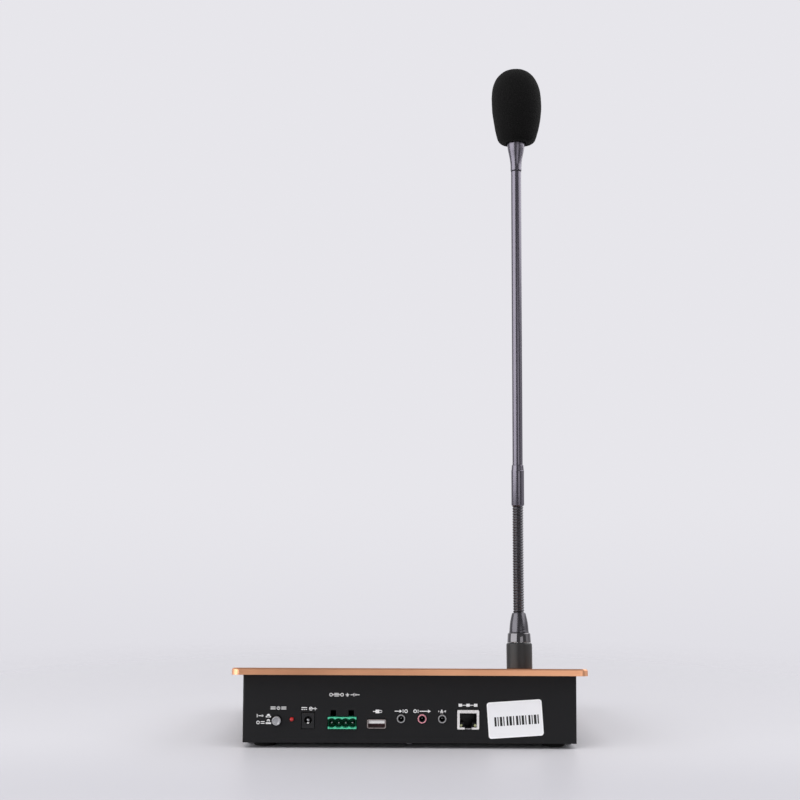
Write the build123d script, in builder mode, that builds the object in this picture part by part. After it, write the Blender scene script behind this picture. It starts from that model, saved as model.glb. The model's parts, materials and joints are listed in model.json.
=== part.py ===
"""Desktop paging console with a plug-in gooseneck microphone.

Frame: +Z up, the user sits on the -Y side, the connector wall faces +Y.
The origin is the centre of the footprint, at the level of the rubber feet. Millimetres.
"""
from build123d import *
from math import cos, radians, sin, sqrt, tan
import os

os.makedirs("parts", exist_ok=True)

# ---------------------------------------------------------------- driving dimensions
# steel case, a wedge that falls towards the user
case_width = 243.0
case_depth = 180.0
rear_height = 48.5
foot_height = 4.0
slope = 7.5
sheet = 1.2
corner_radius = 1.5
flange_width = 12.0
lip_width = 10.0

# aluminium top panel
panel_width = 259.0
panel_length = 197.0
panel_thickness = 5.0
panel_corner = 6.0
panel_chamfer = 1.0

# microphone axis on the panel, and stations along it above the panel surface
mic_x = -83.0
mic_y = 58.3
ring_bottom = 0.3
ring_top = 19.5
taper_top = 27.0
ferrule_top = 42.0
neck_top = 123.2
collar_top = 154.8
tube_top = 383.2
housing_top = 405.7
foam_top = 463.2

# microphone diameters
ring_diameter = 19.4
taper_diameters = (17.9, 16.9)
ferrule_diameters = (14.8, 10.3)
neck_diameter = 8.0
collar_diameter = 9.8
tube_diameter = 7.8
housing_diameters = (8.7, 13.7)
foam_diameter = 38.2

# flexible neck: links on ball joints, left bent up towards the wall and a little to +X (degrees)
neck_joints = 6
neck_bend = 9.0
neck_lean = 0.3
ball_radius = 3.2
ball_play = 0.1
joint_gap = 0.8
lead_bore = 1.6

# touch screen, speaker and keys, placed on the panel by x and distance up the slope
screen_x = 22.0
screen_y = 22.0
glass_size = (170.0, 105.0)
glass_thickness = 1.8
lcd_size = (165.0, 100.0)
lcd_thickness = 5.7
speaker_x = -87.0
speaker_y = -24.0
speaker_radius = 20.0
key_row_y = -60.0
key_size = (20.0, 10.0)
key_pitch = 28.0
first_key_x = -46.0
key_count = 4
talk_key_x = 84.0
talk_key_radius = 12.0
key_clearance = 0.3
key_travel = 0.9
key_rise = 0.9
key_flange_top = -0.4
key_flange_thickness = 1.5
switch_height = 3.75
key_board_top = key_flange_top - key_flange_thickness - key_travel - switch_height - 0.15

# connectors on the rear wall: x and height of each centre
button_x, button_z = 96.8, 19.7
lamp_x, lamp_z = 85.7, 20.7
power_x, power_z = 73.9, 20.1
terminal_x, terminal_z = 49.1, 18.3
usb_x, usb_z = 24.1, 18.3
audio_z = 21.4
line_in_x, aux_out_x, mic_in_x = 6.3, -9.0, -23.6
lan_x, lan_z = -42.5, 21.0
label_x, label_z = -76.7, 21.6

# circuit boards
board_thickness = 1.6
board_top = 14.0
board_width, board_depth = 166.0, 76.0
board_x, board_y = 25.0, 48.0

# ---------------------------------------------------------------- derived places
half_width = case_width / 2
half_depth = case_depth / 2
rear_top = foot_height + rear_height
fall = tan(radians(slope))
front_top = rear_top - case_depth * fall
cover_top = foot_height + sheet

# panel plane: the underside of the top panel, x to the row's +X, y up the slope
panel_mid_y = panel_thickness / 2 * sin(radians(slope))
panel_mid_z = rear_top - (half_depth - panel_mid_y) * fall
panel_normal = (0, -sin(radians(slope)), cos(radians(slope)))
section_normal = (0, -cos(radians(slope)), -sin(radians(slope)))
deck = Plane(origin=(0, panel_mid_y, panel_mid_z), x_dir=(1, 0, 0), z_dir=panel_normal)
deck_axis = Axis(deck.origin, panel_normal)

# microphone plane: on the panel surface, z along the microphone
mic = Plane(
    origin=deck.from_local_coords(Vector(mic_x, mic_y, panel_thickness)),
    x_dir=(1, 0, 0),
    z_dir=panel_normal,
)

# one plane for each neck link, all with heights measured along the neck; the last one is the stem's
link_pitch = (neck_top - ferrule_top) / neck_joints
joint_stations = [ferrule_top + (k + 0.5) * link_pitch for k in range(neck_joints)]
link_planes = [mic]
for k, station in enumerate(joint_stations):
    below = link_planes[-1]
    turn_axis = Axis((0, 0, 0), below.x_dir if k % 2 == 0 else below.y_dir)
    turn = -neck_bend / 3 if k % 2 == 0 else neck_lean / 3
    along = below.z_dir.rotate(turn_axis, turn)
    across = below.x_dir.rotate(turn_axis, turn)
    pivot = below.offset(station).origin
    link_planes.append(Plane(origin=pivot - along * station, x_dir=across, z_dir=along))
stem = link_planes[-1]
stem_section = Plane(origin=stem.origin, x_dir=stem.x_dir, z_dir=-stem.y_dir)
stem_axis = Axis(stem.origin, stem.z_dir)

# rear plane: the outside of the connector wall, x to +X, y up, normal into the case
rear = Plane.XZ.offset(-half_depth)

key_places = [(first_key_x + key_pitch * k, key_row_y) for k in range(key_count)]
talk_place = (talk_key_x, key_row_y)
audio_xs = (line_in_x, aux_out_x, mic_in_x)
edge_x = half_width - sheet - flange_width / 2
edge_y = 82.5
panel_screw_places = [(i * edge_x, j * edge_y) for i in (-1, 0, 1) for j in (-1, 0, 1) if i or j]
lip_x = half_width - sheet - lip_width / 2
lip_y = half_depth - sheet - lip_width / 2
cover_screw_places = [(i * lip_x, j * lip_y) for i in (-1, 0, 1) for j in (-1, 0, 1) if i or j]
board_screw_places = [
    (board_x + i * (board_width / 2 - 4), board_y + j * (board_depth / 2 - 12))
    for i in (-1, 1)
    for j in (-1, 1)
]
key_board_x = 20.0
key_board_size = (168.0, 28.0)
key_board_places = [(key_board_x + i * 80, key_row_y + j * 11) for i in (-1, 1) for j in (-1, 1)]
foot_places = [(i * 106.5, j * 73) for i in (-1, 1) for j in (-1, 1)]


def save(piece, name):
    """Label a finished sub-part and write it as its own STEP file."""
    piece.part.label = name
    export_step(piece.part, f"parts/{name}.step")


def wedge_outline(inset, bottom, roof):
    """Side outline of the case, pulled in by inset, from bottom up to roof below the panel."""
    y_end = half_depth - inset
    Polyline(
        (-y_end, bottom),
        (y_end, bottom),
        (y_end, rear_top - inset * fall - roof),
        (-y_end, front_top + inset * fall - roof),
        close=True,
    )


# ---------------------------------------------------------------- case
with BuildPart() as case_body:
    with BuildSketch(Plane.YZ):
        with BuildLine():
            wedge_outline(0, foot_height, 0)
        make_face()
    extrude(amount=half_width, both=True)
    fillet(case_body.edges().filter_by(Axis.Z), corner_radius)
    # the hollow, which leaves the four walls and the top flange
    with BuildSketch(Plane.YZ):
        with BuildLine():
            wedge_outline(sheet, foot_height - 1, sheet)
        make_face()
    extrude(amount=half_width - sheet, both=True, mode=Mode.SUBTRACT)
    with BuildSketch(deck.offset(1)):
        Rectangle(case_width - 2 * (sheet + flange_width), 2 * (edge_y - flange_width / 2))
    extrude(amount=-8, mode=Mode.SUBTRACT)
    with BuildSketch(deck.offset(1)):
        with Locations(panel_screw_places):
            Circle(1.65)
    extrude(amount=-4, mode=Mode.SUBTRACT)
    # inward lip that the bottom cover is screwed to
    with BuildSketch(Plane.XY.offset(cover_top)):
        Rectangle(case_width - sheet, case_depth - sheet)
        Rectangle(
            case_width - 2 * (sheet + lip_width), case_depth - 2 * (sheet + lip_width), mode=Mode.SUBTRACT
        )
        with Locations(cover_screw_places):
            Circle(1.5, mode=Mode.SUBTRACT)
    extrude(amount=sheet)
    # openings for the connectors
    with BuildSketch(rear.offset(-1)):
        with Locations((button_x, button_z)):
            Circle(4.0)
        with Locations((lamp_x, lamp_z)):
            Circle(1.7)
        with Locations((power_x, board_top - 0.2)):
            Rectangle(9.9, 12.2, align=(Align.CENTER, Align.MIN))
        with Locations((terminal_x, terminal_z)):
            Rectangle(21.4, 9.6)
        with Locations((terminal_x + 6.5, 24.8), (terminal_x - 6.5, 24.8)):
            Rectangle(4.0, 5.2)
        with Locations((usb_x, usb_z)):
            Rectangle(13.6, 6.2)
        with Locations((line_in_x, audio_z), (mic_in_x, audio_z)):
            Circle(3.3)
        with Locations((aux_out_x, audio_z)):
            Circle(3.5)
        with Locations((lan_x, lan_z)):
            Rectangle(16.5, 14.4)
    extrude(amount=sheet + 2, mode=Mode.SUBTRACT)
save(case_body, "case_body")

with BuildPart() as bottom_cover:
    with BuildSketch(Plane.XY.offset(foot_height)):
        RectangleRounded(case_width - 2 * sheet - 0.4, case_depth - 2 * sheet - 0.4, 1)
        with Locations(cover_screw_places):
            Circle(1.7, mode=Mode.SUBTRACT)
        # two banks of ventilation slots
        with Locations((-62, 0), (62, 0)):
            with GridLocations(0, 7, 1, 9):
                SlotOverall(40, 3, mode=Mode.SUBTRACT)
    extrude(amount=sheet)
save(bottom_cover, "bottom_cover")

with BuildPart() as cover_screws:
    with BuildSketch(Plane.XY.offset(foot_height)):
        with Locations(cover_screw_places):
            Circle(1.45)
    extrude(amount=5)
    with BuildSketch(Plane.XY.offset(foot_height)):
        with Locations(cover_screw_places):
            Circle(2.8)
    extrude(amount=-1.6)
    fillet(cover_screws.faces().sort_by(Axis.Z)[: len(cover_screw_places)].edges(), 0.7)
    with BuildSketch(Plane.XY.offset(foot_height - 1.7)):
        with Locations(cover_screw_places):
            RegularPolygon(1.1, 6)
    extrude(amount=1.1, mode=Mode.SUBTRACT)
save(cover_screws, "cover_screws")

with BuildPart() as rubber_feet:
    with BuildSketch(Plane.XY.offset(foot_height)):
        with Locations(foot_places):
            Circle(8.5)
    extrude(amount=-foot_height, taper=8)
    with BuildSketch(Plane.XY):
        with Locations(foot_places):
            Circle(3.5)
    extrude(amount=1.5, mode=Mode.SUBTRACT)
save(rubber_feet, "rubber_feet")

# ---------------------------------------------------------------- top panel
with BuildPart() as top_panel:
    with BuildSketch(deck):
        RectangleRounded(panel_width, panel_length, panel_corner)
    extrude(amount=panel_thickness)
    chamfer(top_panel.faces().sort_by(deck_axis)[-1].edges(), panel_chamfer)
    # recess for the cover glass and window for the display behind it
    with BuildSketch(deck.offset(panel_thickness)):
        with Locations((screen_x, screen_y)):
            RectangleRounded(glass_size[0] + 0.4, glass_size[1] + 0.4, 4.2)
    extrude(amount=-glass_thickness - 0.1, mode=Mode.SUBTRACT)
    with BuildSketch(deck):
        with Locations((screen_x, screen_y)):
            Rectangle(lcd_size[0] + 0.6, lcd_size[1] + 0.6)
        with Locations(key_places):
            RectangleRounded(key_size[0] + 2 * key_clearance, key_size[1] + 2 * key_clearance, 2.3)
        with Locations(talk_place):
            Circle(talk_key_radius + key_clearance)
        with Locations((mic_x, mic_y)):
            Circle(6.15)
        # perforated speaker field: rows of small holes kept inside a circle
        for row in range(-4, 5):
            row_length = 2 * sqrt(15.8**2 - (row * 3.46) ** 2)
            row_count = int(row_length / 4) + 1
            if (row_count - row) % 2 == 0:
                row_count -= 1
            with Locations((speaker_x, speaker_y + row * 3.46)):
                with GridLocations(4, 0, row_count, 1):
                    Circle(1.1)
    extrude(amount=panel_thickness, mode=Mode.SUBTRACT)
    with BuildSketch(deck):
        with Locations(panel_screw_places):
            Circle(1.5)
        with Locations(key_board_places):
            Circle(1.5)
    extrude(amount=4.0, mode=Mode.SUBTRACT)
save(top_panel, "top_panel")

with BuildPart() as panel_screws:
    with BuildSketch(deck.offset(3.8)):
        with Locations(panel_screw_places):
            Circle(1.45)
    extrude(amount=-3.8 - sheet)
    with BuildSketch(deck.offset(-sheet)):
        with Locations(panel_screw_places):
            Circle(2.75)
    extrude(amount=-2.0)
    with BuildSketch(deck.offset(-sheet - 2.1)):
        with Locations(panel_screw_places):
            RegularPolygon(1.3, 6)
    extrude(amount=1.3, mode=Mode.SUBTRACT)
save(panel_screws, "panel_screws")

with BuildPart() as touch_glass:
    with BuildSketch(deck.offset(panel_thickness - 0.1)):
        with Locations((screen_x, screen_y)):
            RectangleRounded(*glass_size, 4)
    extrude(amount=-glass_thickness)
save(touch_glass, "touch_glass")

with BuildPart() as lcd_module:
    with BuildSketch(deck.offset(panel_thickness - glass_thickness - 0.1)):
        with Locations((screen_x, screen_y)):
            Rectangle(*lcd_size)
    extrude(amount=-lcd_thickness)
save(lcd_module, "lcd_module")

# ---------------------------------------------------------------- speaker
speaker_section = Plane(
    origin=deck.from_local_coords(Vector(speaker_x, speaker_y, 0)),
    x_dir=(1, 0, 0),
    z_dir=section_normal,
)
speaker_axis = Axis(speaker_section.origin, panel_normal)

with BuildPart() as speaker_frame:
    with BuildSketch(speaker_section):
        with BuildLine():
            Polyline(
                (17.2, 0),
                (speaker_radius, 0),
                (speaker_radius, -1.5),
                (17.8, -1.5),
                (14.2, -9.5),
                (14.2, -11),
                (7.2, -11),
                (7.2, -9.5),
                (13.2, -9.5),
                (16.8, -1.5),
                close=True,
            )
        make_face()
    revolve(axis=speaker_axis)
save(speaker_frame, "speaker_frame")

with BuildPart() as speaker_cone:
    with BuildSketch(speaker_section):
        with BuildLine():
            Polyline(
                (0, -2.6), (4, -3.2), (5.4, -5.6), (15.8, -1.2), (16.7, -1.2), (16.7, -1.5), (15.9, -1.6),
                (6.6, -5.8), (6.6, -9), (6.0, -9), (6.0, -6.2), (0, -3.2), close=True,
            )
        make_face()
    revolve(axis=speaker_axis)
save(speaker_cone, "speaker_cone")

with BuildPart() as speaker_magnet:
    with BuildSketch(speaker_section):
        with BuildLine():
            Polyline(
                (7.6, -11), (14, -11), (14, -17), (0, -17), (0, -8), (5.6, -8), (5.6, -15), (7.6, -15),
                close=True,
            )
        make_face()
    revolve(axis=speaker_axis)
save(speaker_magnet, "speaker_magnet")

# ---------------------------------------------------------------- keys
for number, place in enumerate(key_places, start=1):
    with BuildPart() as function_key:
        with BuildSketch(deck.offset(key_flange_top - key_flange_thickness)):
            with Locations(place):
                RectangleRounded(key_size[0] + 4, key_size[1] + 4, 2.5)
        extrude(amount=key_flange_thickness)
        with BuildSketch(deck.offset(key_flange_top)):
            with Locations(place):
                RectangleRounded(*key_size, 2)
        extrude(amount=panel_thickness + key_rise - key_flange_top)
        fillet(function_key.faces().sort_by(deck_axis)[-1].edges(), 0.5)
    save(function_key, f"function_key_{number}")

with BuildPart() as talk_key:
    with BuildSketch(deck.offset(key_flange_top - key_flange_thickness)):
        with Locations(talk_place):
            Circle(talk_key_radius + 2)
    extrude(amount=key_flange_thickness)
    with BuildSketch(deck.offset(key_flange_top)):
        with Locations(talk_place):
            Circle(talk_key_radius)
    extrude(amount=panel_thickness + key_rise - key_flange_top)
    fillet(talk_key.faces().sort_by(deck_axis)[-1].edges(), 0.6)
    # shallow finger dish
    with Locations(deck.from_local_coords(Vector(*talk_place, panel_thickness + key_rise + 59.4))):
        Sphere(60, mode=Mode.SUBTRACT)
save(talk_key, "talk_key")

with BuildPart() as key_board:
    with BuildSketch(deck.offset(key_board_top)):
        with Locations((key_board_x, key_row_y)):
            Rectangle(*key_board_size)
        with Locations(key_board_places):
            Circle(1.7, mode=Mode.SUBTRACT)
    extrude(amount=-board_thickness)
save(key_board, "key_board")

with BuildPart() as key_switches:
    with BuildSketch(deck.offset(key_board_top)):
        with Locations(key_places, talk_place):
            Rectangle(6, 6)
    extrude(amount=switch_height - 0.35)
    with BuildSketch(deck.offset(key_board_top + switch_height - 0.35)):
        with Locations(key_places, talk_place):
            Circle(1.75)
    extrude(amount=0.35)
save(key_switches, "key_switches")

with BuildPart() as key_board_screws:
    with BuildSketch(deck.offset(3.8)):
        with Locations(key_board_places):
            Circle(1.45)
    extrude(amount=key_board_top - board_thickness - 3.8)
    with BuildSketch(deck):
        with Locations(key_board_places):
            Circle(2.5)
    extrude(amount=key_board_top)
    with BuildSketch(deck.offset(key_board_top - board_thickness)):
        with Locations(key_board_places):
            Circle(2.75)
    extrude(amount=-2)
save(key_board_screws, "key_board_screws")

# ---------------------------------------------------------------- main board
with BuildPart() as main_board:
    with BuildSketch(Plane.XY.offset(board_top)):
        with Locations((board_x, board_y)):
            Rectangle(board_width, board_depth)
        with Locations(board_screw_places):
            Circle(1.7, mode=Mode.SUBTRACT)
    extrude(amount=-board_thickness)
save(main_board, "main_board")

with BuildPart() as board_standoffs:
    with BuildSketch(Plane.XY.offset(cover_top)):
        with Locations(board_screw_places):
            RegularPolygon(3.2, 6)
            Circle(1.5, mode=Mode.SUBTRACT)
    extrude(amount=board_top - board_thickness - cover_top)
save(board_standoffs, "board_standoffs")

with BuildPart() as board_screws:
    with BuildSketch(Plane.XY.offset(board_top)):
        with Locations(board_screw_places):
            Circle(2.75)
    extrude(amount=2)
    with BuildSketch(Plane.XY.offset(board_top)):
        with Locations(board_screw_places):
            Circle(1.45)
    extrude(amount=-6)
save(board_screws, "board_screws")

with BuildPart() as board_chips:
    with BuildSketch(Plane.XY.offset(board_top)):
        with Locations((board_x + 20, board_y - 14)):
            Rectangle(22, 22)
        with Locations((board_x - 24, board_y - 12), (board_x - 48, board_y - 12)):
            Rectangle(12, 18)
    extrude(amount=1.5)
    # audio output capacitors
    with BuildSketch(Plane.XY.offset(board_top)):
        with Locations((board_x + 58, board_y - 14)):
            with GridLocations(14, 14, 2, 2):
                Circle(5)
    extrude(amount=12)
save(board_chips, "board_chips")

# ---------------------------------------------------------------- power switch, lamp and inlet
with BuildPart() as power_switch:
    with BuildSketch(rear.offset(6)):
        with Locations((button_x, (board_top + button_z + 4.3) / 2)):
            Rectangle(8.6, button_z + 4.3 - board_top)
    extrude(amount=12)
    with BuildSketch(rear.offset(6)):
        with Locations((button_x, button_z)):
            Rectangle(3.4, 3.4)
    extrude(amount=9, mode=Mode.SUBTRACT)
save(power_switch, "power_switch")

with BuildPart() as power_button:
    with BuildSketch(rear.offset(-3)):
        with Locations((button_x, button_z)):
            Circle(3.25)
    extrude(amount=6.3)
    fillet(power_button.faces().sort_by(Axis.Y)[-1].edges(), 0.5)
    with BuildSketch(rear.offset(3.3)):
        with Locations((button_x, button_z)):
            Rectangle(3, 3)
    extrude(amount=8.7)
    # dished finger face
    with Locations((button_x, half_depth + 3 + 11.5, button_z)):
        Sphere(12, mode=Mode.SUBTRACT)
save(power_button, "power_button")

with BuildPart() as power_lamp:
    with BuildSketch(rear.offset(-0.4)):
        with Locations((lamp_x, lamp_z)):
            Circle(1.55)
    extrude(amount=6)
    with BuildSketch(rear.offset(5.6)):
        with Locations((lamp_x, lamp_z)):
            Circle(1.95)
    extrude(amount=1)
    with Locations((lamp_x, half_depth + 0.4, lamp_z)):
        Sphere(1.55)
    # two legs that bend down to the board
    with Locations((lamp_x - 1.1, half_depth - 8.4, lamp_z), (lamp_x + 1.1, half_depth - 8.4, lamp_z)):
        Box(0.5, 4, 0.5)
    leg_height = lamp_z - board_top
    with Locations((lamp_x - 1.1, half_depth - 10.2, lamp_z), (lamp_x + 1.1, half_depth - 10.2, lamp_z)):
        Box(0.5, 0.5, leg_height, align=(Align.CENTER, Align.CENTER, Align.MAX))
save(power_lamp, "power_lamp")

with BuildPart() as dc_jack_housing:
    with BuildSketch(rear.offset(-0.2)):
        with Locations((power_x, board_top)):
            Rectangle(9.2, 11.5, align=(Align.CENTER, Align.MIN))
    extrude(amount=14)
    chamfer(dc_jack_housing.faces().sort_by(Axis.Y)[-1].edges(), 0.3)
    with BuildSketch(rear.offset(-0.2)):
        with Locations((power_x, power_z)):
            Circle(2.9)
    extrude(amount=9.5, mode=Mode.SUBTRACT)
save(dc_jack_housing, "dc_jack_housing")

with BuildPart() as dc_jack_pin:
    with BuildSketch(rear.offset(1)):
        with Locations((power_x, power_z)):
            Circle(1.05)
    extrude(amount=8.3)
    fillet(dc_jack_pin.faces().sort_by(Axis.Y)[-1].edges(), 0.5)
save(dc_jack_pin, "dc_jack_pin")

# ---------------------------------------------------------------- terminal header
terminal_pitch = 5.08
terminal_xs = [terminal_x + terminal_pitch * (k - 1.5) for k in range(4)]

with BuildPart() as terminal_header:
    with BuildSketch(rear.offset(-1.5)):
        with Locations((terminal_x, board_top)):
            Rectangle(20.8, 8.6, align=(Align.CENTER, Align.MIN))
    extrude(amount=12.5)
    # plug recess: a slot with a round bay at each pole
    with BuildSketch(rear.offset(-1.5)):
        with Locations((terminal_x, terminal_z)):
            Rectangle(19.2, 4.2)
        with Locations([(x, terminal_z) for x in terminal_xs]):
            Circle(2.9)
    extrude(amount=8.5, mode=Mode.SUBTRACT)
save(terminal_header, "terminal_header")

with BuildPart() as terminal_pins:
    with BuildSketch(rear.offset(0.5)):
        with Locations([(x, terminal_z) for x in terminal_xs]):
            Rectangle(1, 1)
    extrude(amount=6.5)
    chamfer(terminal_pins.faces().group_by(Axis.Y)[-1].edges(), 0.25)
save(terminal_pins, "terminal_pins")

# ---------------------------------------------------------------- usb socket
with BuildPart() as usb_shell:
    with BuildSketch(rear.offset(-0.8)):
        with Locations((usb_x, usb_z)):
            RectangleRounded(13.1, 5.7, 0.6)
            RectangleRounded(12.3, 4.9, 0.4, mode=Mode.SUBTRACT)
    extrude(amount=14)
    # turned-out lip round the mouth
    with BuildSketch(rear.offset(-1.2)):
        with Locations((usb_x, usb_z)):
            RectangleRounded(13.9, 6.5, 0.8)
            RectangleRounded(12.3, 4.9, 0.4, mode=Mode.SUBTRACT)
    extrude(amount=0.5)
    # legs down to the board
    with Locations((usb_x - 6.3, half_depth - 9, board_top), (usb_x + 6.3, half_depth - 9, board_top)):
        Box(0.4, 3, usb_z - board_top, align=(Align.CENTER, Align.CENTER, Align.MIN))
save(usb_shell, "usb_shell")

with BuildPart() as usb_tongue:
    with BuildSketch(rear.offset(0.6)):
        with Locations((usb_x, usb_z + 1.2)):
            Rectangle(11.1, 1.8)
    extrude(amount=9.4)
    with BuildSketch(rear.offset(10)):
        with Locations((usb_x, usb_z)):
            RectangleRounded(12.2, 4.8, 0.5)
    extrude(amount=3.2)
save(usb_tongue, "usb_tongue")

# ---------------------------------------------------------------- 3.5 mm audio jacks
with BuildPart() as audio_jacks:
    with BuildSketch(rear.offset(1.7)):
        with Locations([(x, board_top) for x in audio_xs]):
            Rectangle(11, 11.2, align=(Align.CENTER, Align.MIN))
    extrude(amount=14.5)
    with BuildSketch(rear.offset(1.7)):
        with Locations([(x, audio_z) for x in audio_xs]):
            Circle(1.8)
    extrude(amount=12, mode=Mode.SUBTRACT)
save(audio_jacks, "audio_jacks")


def jack_nose(outer_radius):
    """Sleeve of a jack, from its body out through the wall, in the sketch plane's places."""
    Circle(outer_radius)
    Circle(1.8, mode=Mode.SUBTRACT)


with BuildPart() as audio_jack_rings:
    with BuildSketch(rear.offset(1.7)):
        with Locations((line_in_x, audio_z), (mic_in_x, audio_z)):
            jack_nose(3.0)
    extrude(amount=-3)
    chamfer(audio_jack_rings.edges().filter_by(GeomType.CIRCLE).group_by(Axis.Y)[-1], 0.3)
save(audio_jack_rings, "audio_jack_rings")

with BuildPart() as aux_jack_ring:
    with BuildSketch(rear.offset(1.7)):
        with Locations((aux_out_x, audio_z)):
            jack_nose(3.2)
    extrude(amount=-3)
    chamfer(aux_jack_ring.edges().filter_by(GeomType.CIRCLE).group_by(Axis.Y)[-1], 0.3)
save(aux_jack_ring, "aux_jack_ring")

# ---------------------------------------------------------------- network jack
lan_width, lan_height = 15.9, 13.8
lan_floor = lan_z - lan_height / 2

with BuildPart() as lan_jack_shield:
    with BuildSketch(rear.offset(-1)):
        with Locations((lan_x, lan_z)):
            RectangleRounded(lan_width, lan_height, 0.8)
    extrude(amount=20)
    with BuildSketch(rear.offset(-0.6)):
        with Locations((lan_x, lan_z)):
            Rectangle(lan_width - 0.8, lan_height - 0.8)
    extrude(amount=20, mode=Mode.SUBTRACT)
    # mouth of the jack with the latch notch below it
    with BuildSketch(rear.offset(-1.5)):
        with Locations((lan_x, lan_z - 0.4)):
            Rectangle(12.4, 10.2)
        with Locations((lan_x, lan_floor)):
            Rectangle(5.2, 3, align=(Align.CENTER, Align.MIN))
    extrude(amount=2, mode=Mode.SUBTRACT)
save(lan_jack_shield, "lan_jack_shield")

with BuildPart() as lan_jack_insert:
    with BuildSketch(rear.offset(-0.5)):
        with Locations((lan_x, lan_z)):
            Rectangle(lan_width - 1.2, lan_height - 1.2)
    extrude(amount=18)
    # plug cavity, wide above and stepped in towards the latch
    with BuildSketch(rear.offset(-0.5)):
        with Locations((lan_x, lan_z + 1.2)):
            Rectangle(11.8, 7)
        with Locations((lan_x, lan_z - 3.4)):
            Rectangle(6.4, 3)
        with Locations((lan_x, lan_z - 5.1)):
            Rectangle(4.4, 2)
    extrude(amount=12.5, mode=Mode.SUBTRACT)
    # pockets for the two lamps in the lower corners
    with BuildSketch(rear.offset(-0.5)):
        with Locations((lan_x - 4.75, lan_z - 4.1), (lan_x + 4.75, lan_z - 4.1)):
            Rectangle(2.7, 2.7)
    extrude(amount=4, mode=Mode.SUBTRACT)
save(lan_jack_insert, "lan_jack_insert")

with BuildPart() as lan_jack_lamps:
    with BuildSketch(rear.offset(-0.5)):
        with Locations((lan_x - 4.75, lan_z - 4.1), (lan_x + 4.75, lan_z - 4.1)):
            Rectangle(2.6, 2.6)
    extrude(amount=4)
save(lan_jack_lamps, "lan_jack_lamps")

with BuildPart() as lan_jack_contacts:
    for k in range(8):
        with BuildSketch(Plane.YZ.offset(lan_x + 1.02 * (k - 3.5))):
            with BuildLine():
                Polyline(
                    (half_depth - 2.0, lan_z + 4.5),
                    (half_depth - 11.9, lan_z + 1.6),
                    (half_depth - 11.9, lan_z + 2.0),
                    (half_depth - 2.2, lan_z + 4.7),
                    close=True,
                )
            make_face()
        extrude(amount=0.17, both=True)
save(lan_jack_contacts, "lan_jack_contacts")

with BuildPart() as address_label:
    with BuildSketch(rear):
        with Locations(Location((label_x, label_z, 0), (0, 0, -3.9))):
            RectangleRounded(40, 26, 2)
    extrude(amount=-0.15)
save(address_label, "address_label")

# ---------------------------------------------------------------- microphone socket and plug
mic_section = Plane(origin=mic.origin, x_dir=(1, 0, 0), z_dir=section_normal)
mic_axis = Axis(mic.origin, panel_normal)
pin_places = [(2.4 * cos(radians(a)), 2.4 * sin(radians(a))) for a in (90, 210, 330)]

with BuildPart() as mic_socket:
    with BuildSketch(mic_section):
        with BuildLine():
            Polyline(
                (0, -24), (6.0, -24), (6.0, 0), (7.8, 0), (7.8, 2), (7.2, 2), (7.2, 8.6), (6.8, 9), (5.2, 9),
                (5.2, -14), (0, -14), close=True,
            )
        make_face()
    revolve(axis=mic_axis)
    with BuildSketch(mic.offset(-14)):
        with Locations(pin_places):
            Circle(1.0)
    extrude(amount=-9, mode=Mode.SUBTRACT)
save(mic_socket, "mic_socket")

with BuildPart() as socket_nut:
    with BuildSketch(mic.offset(-panel_thickness)):
        RegularPolygon(9.2, 6)
        Circle(6.05, mode=Mode.SUBTRACT)
    extrude(amount=-4)
save(socket_nut, "socket_nut")

with BuildPart() as plug_body:
    with BuildSketch(mic_section):
        with BuildLine():
            Polyline(
                (lead_bore, -12), (5.0, -12), (5.0, 9.3), (6.9, 9.3), (6.9, 13.5), (6.0, 13.5),
                (6.0, taper_top), (3.05, taper_top), (3.05, 22), (lead_bore, 22), close=True,
            )
        make_face()
    revolve(axis=mic_axis)
    # insulating face that holds the pins
    with BuildSketch(mic.offset(-12)):
        Circle(lead_bore + 0.2)
    extrude(amount=3)
    with BuildSketch(mic.offset(-12)):
        with Locations(pin_places):
            Circle(0.8)
    extrude(amount=2, mode=Mode.SUBTRACT)
save(plug_body, "plug_body")

with BuildPart() as plug_pins:
    with BuildSketch(mic.offset(-21)):
        with Locations(pin_places):
            Circle(0.78)
    extrude(amount=11)
save(plug_pins, "plug_pins")

with BuildPart() as lock_ring:
    with BuildSketch(mic_section):
        with BuildLine():
            Polyline(
                (8.1, ring_bottom),
                (ring_diameter / 2 - 0.3, ring_bottom),
                (ring_diameter / 2, ring_bottom + 0.3),
                (ring_diameter / 2, ring_top - 1.0),
                (ring_diameter / 2 - 0.7, ring_top),
                (6.15, ring_top),
                (6.15, 13.8),
                (7.45, 13.8),
                (7.45, 2.6),
                (8.1, 2.6),
                close=True,
            )
        make_face()
    revolve(axis=mic_axis)
save(lock_ring, "lock_ring")

with BuildPart() as taper_ring:
    with BuildSketch(mic_section):
        with BuildLine():
            Polyline(
                (6.05, ring_top + 0.3),
                (taper_diameters[0] / 2, ring_top + 0.3),
                (taper_diameters[1] / 2 + 0.1, taper_top - 0.5),
                (taper_diameters[1] / 2 - 0.4, taper_top),
                (6.05, taper_top),
                close=True,
            )
        make_face()
    revolve(axis=mic_axis)
save(taper_ring, "taper_ring")

with BuildPart() as neck_ferrule:
    with BuildSketch(mic_section):
        with BuildLine():
            Polyline(
                (ferrule_diameters[1] / 2, ferrule_top - 0.4),
                (ferrule_diameters[1] / 2 - 0.4, ferrule_top),
                (lead_bore, ferrule_top),
                (lead_bore, 22.2),
                (3.0, 22.2),
                (3.0, taper_top),
                (ferrule_diameters[0] / 2, taper_top),
            )
            ThreePointArc(
                (ferrule_diameters[0] / 2, taper_top),
                (sum(ferrule_diameters) / 4 + 0.45, (taper_top + ferrule_top) / 2),
                (ferrule_diameters[1] / 2, ferrule_top - 0.4),
            )
        make_face()
    revolve(axis=mic_axis)
save(neck_ferrule, "neck_ferrule")

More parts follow.
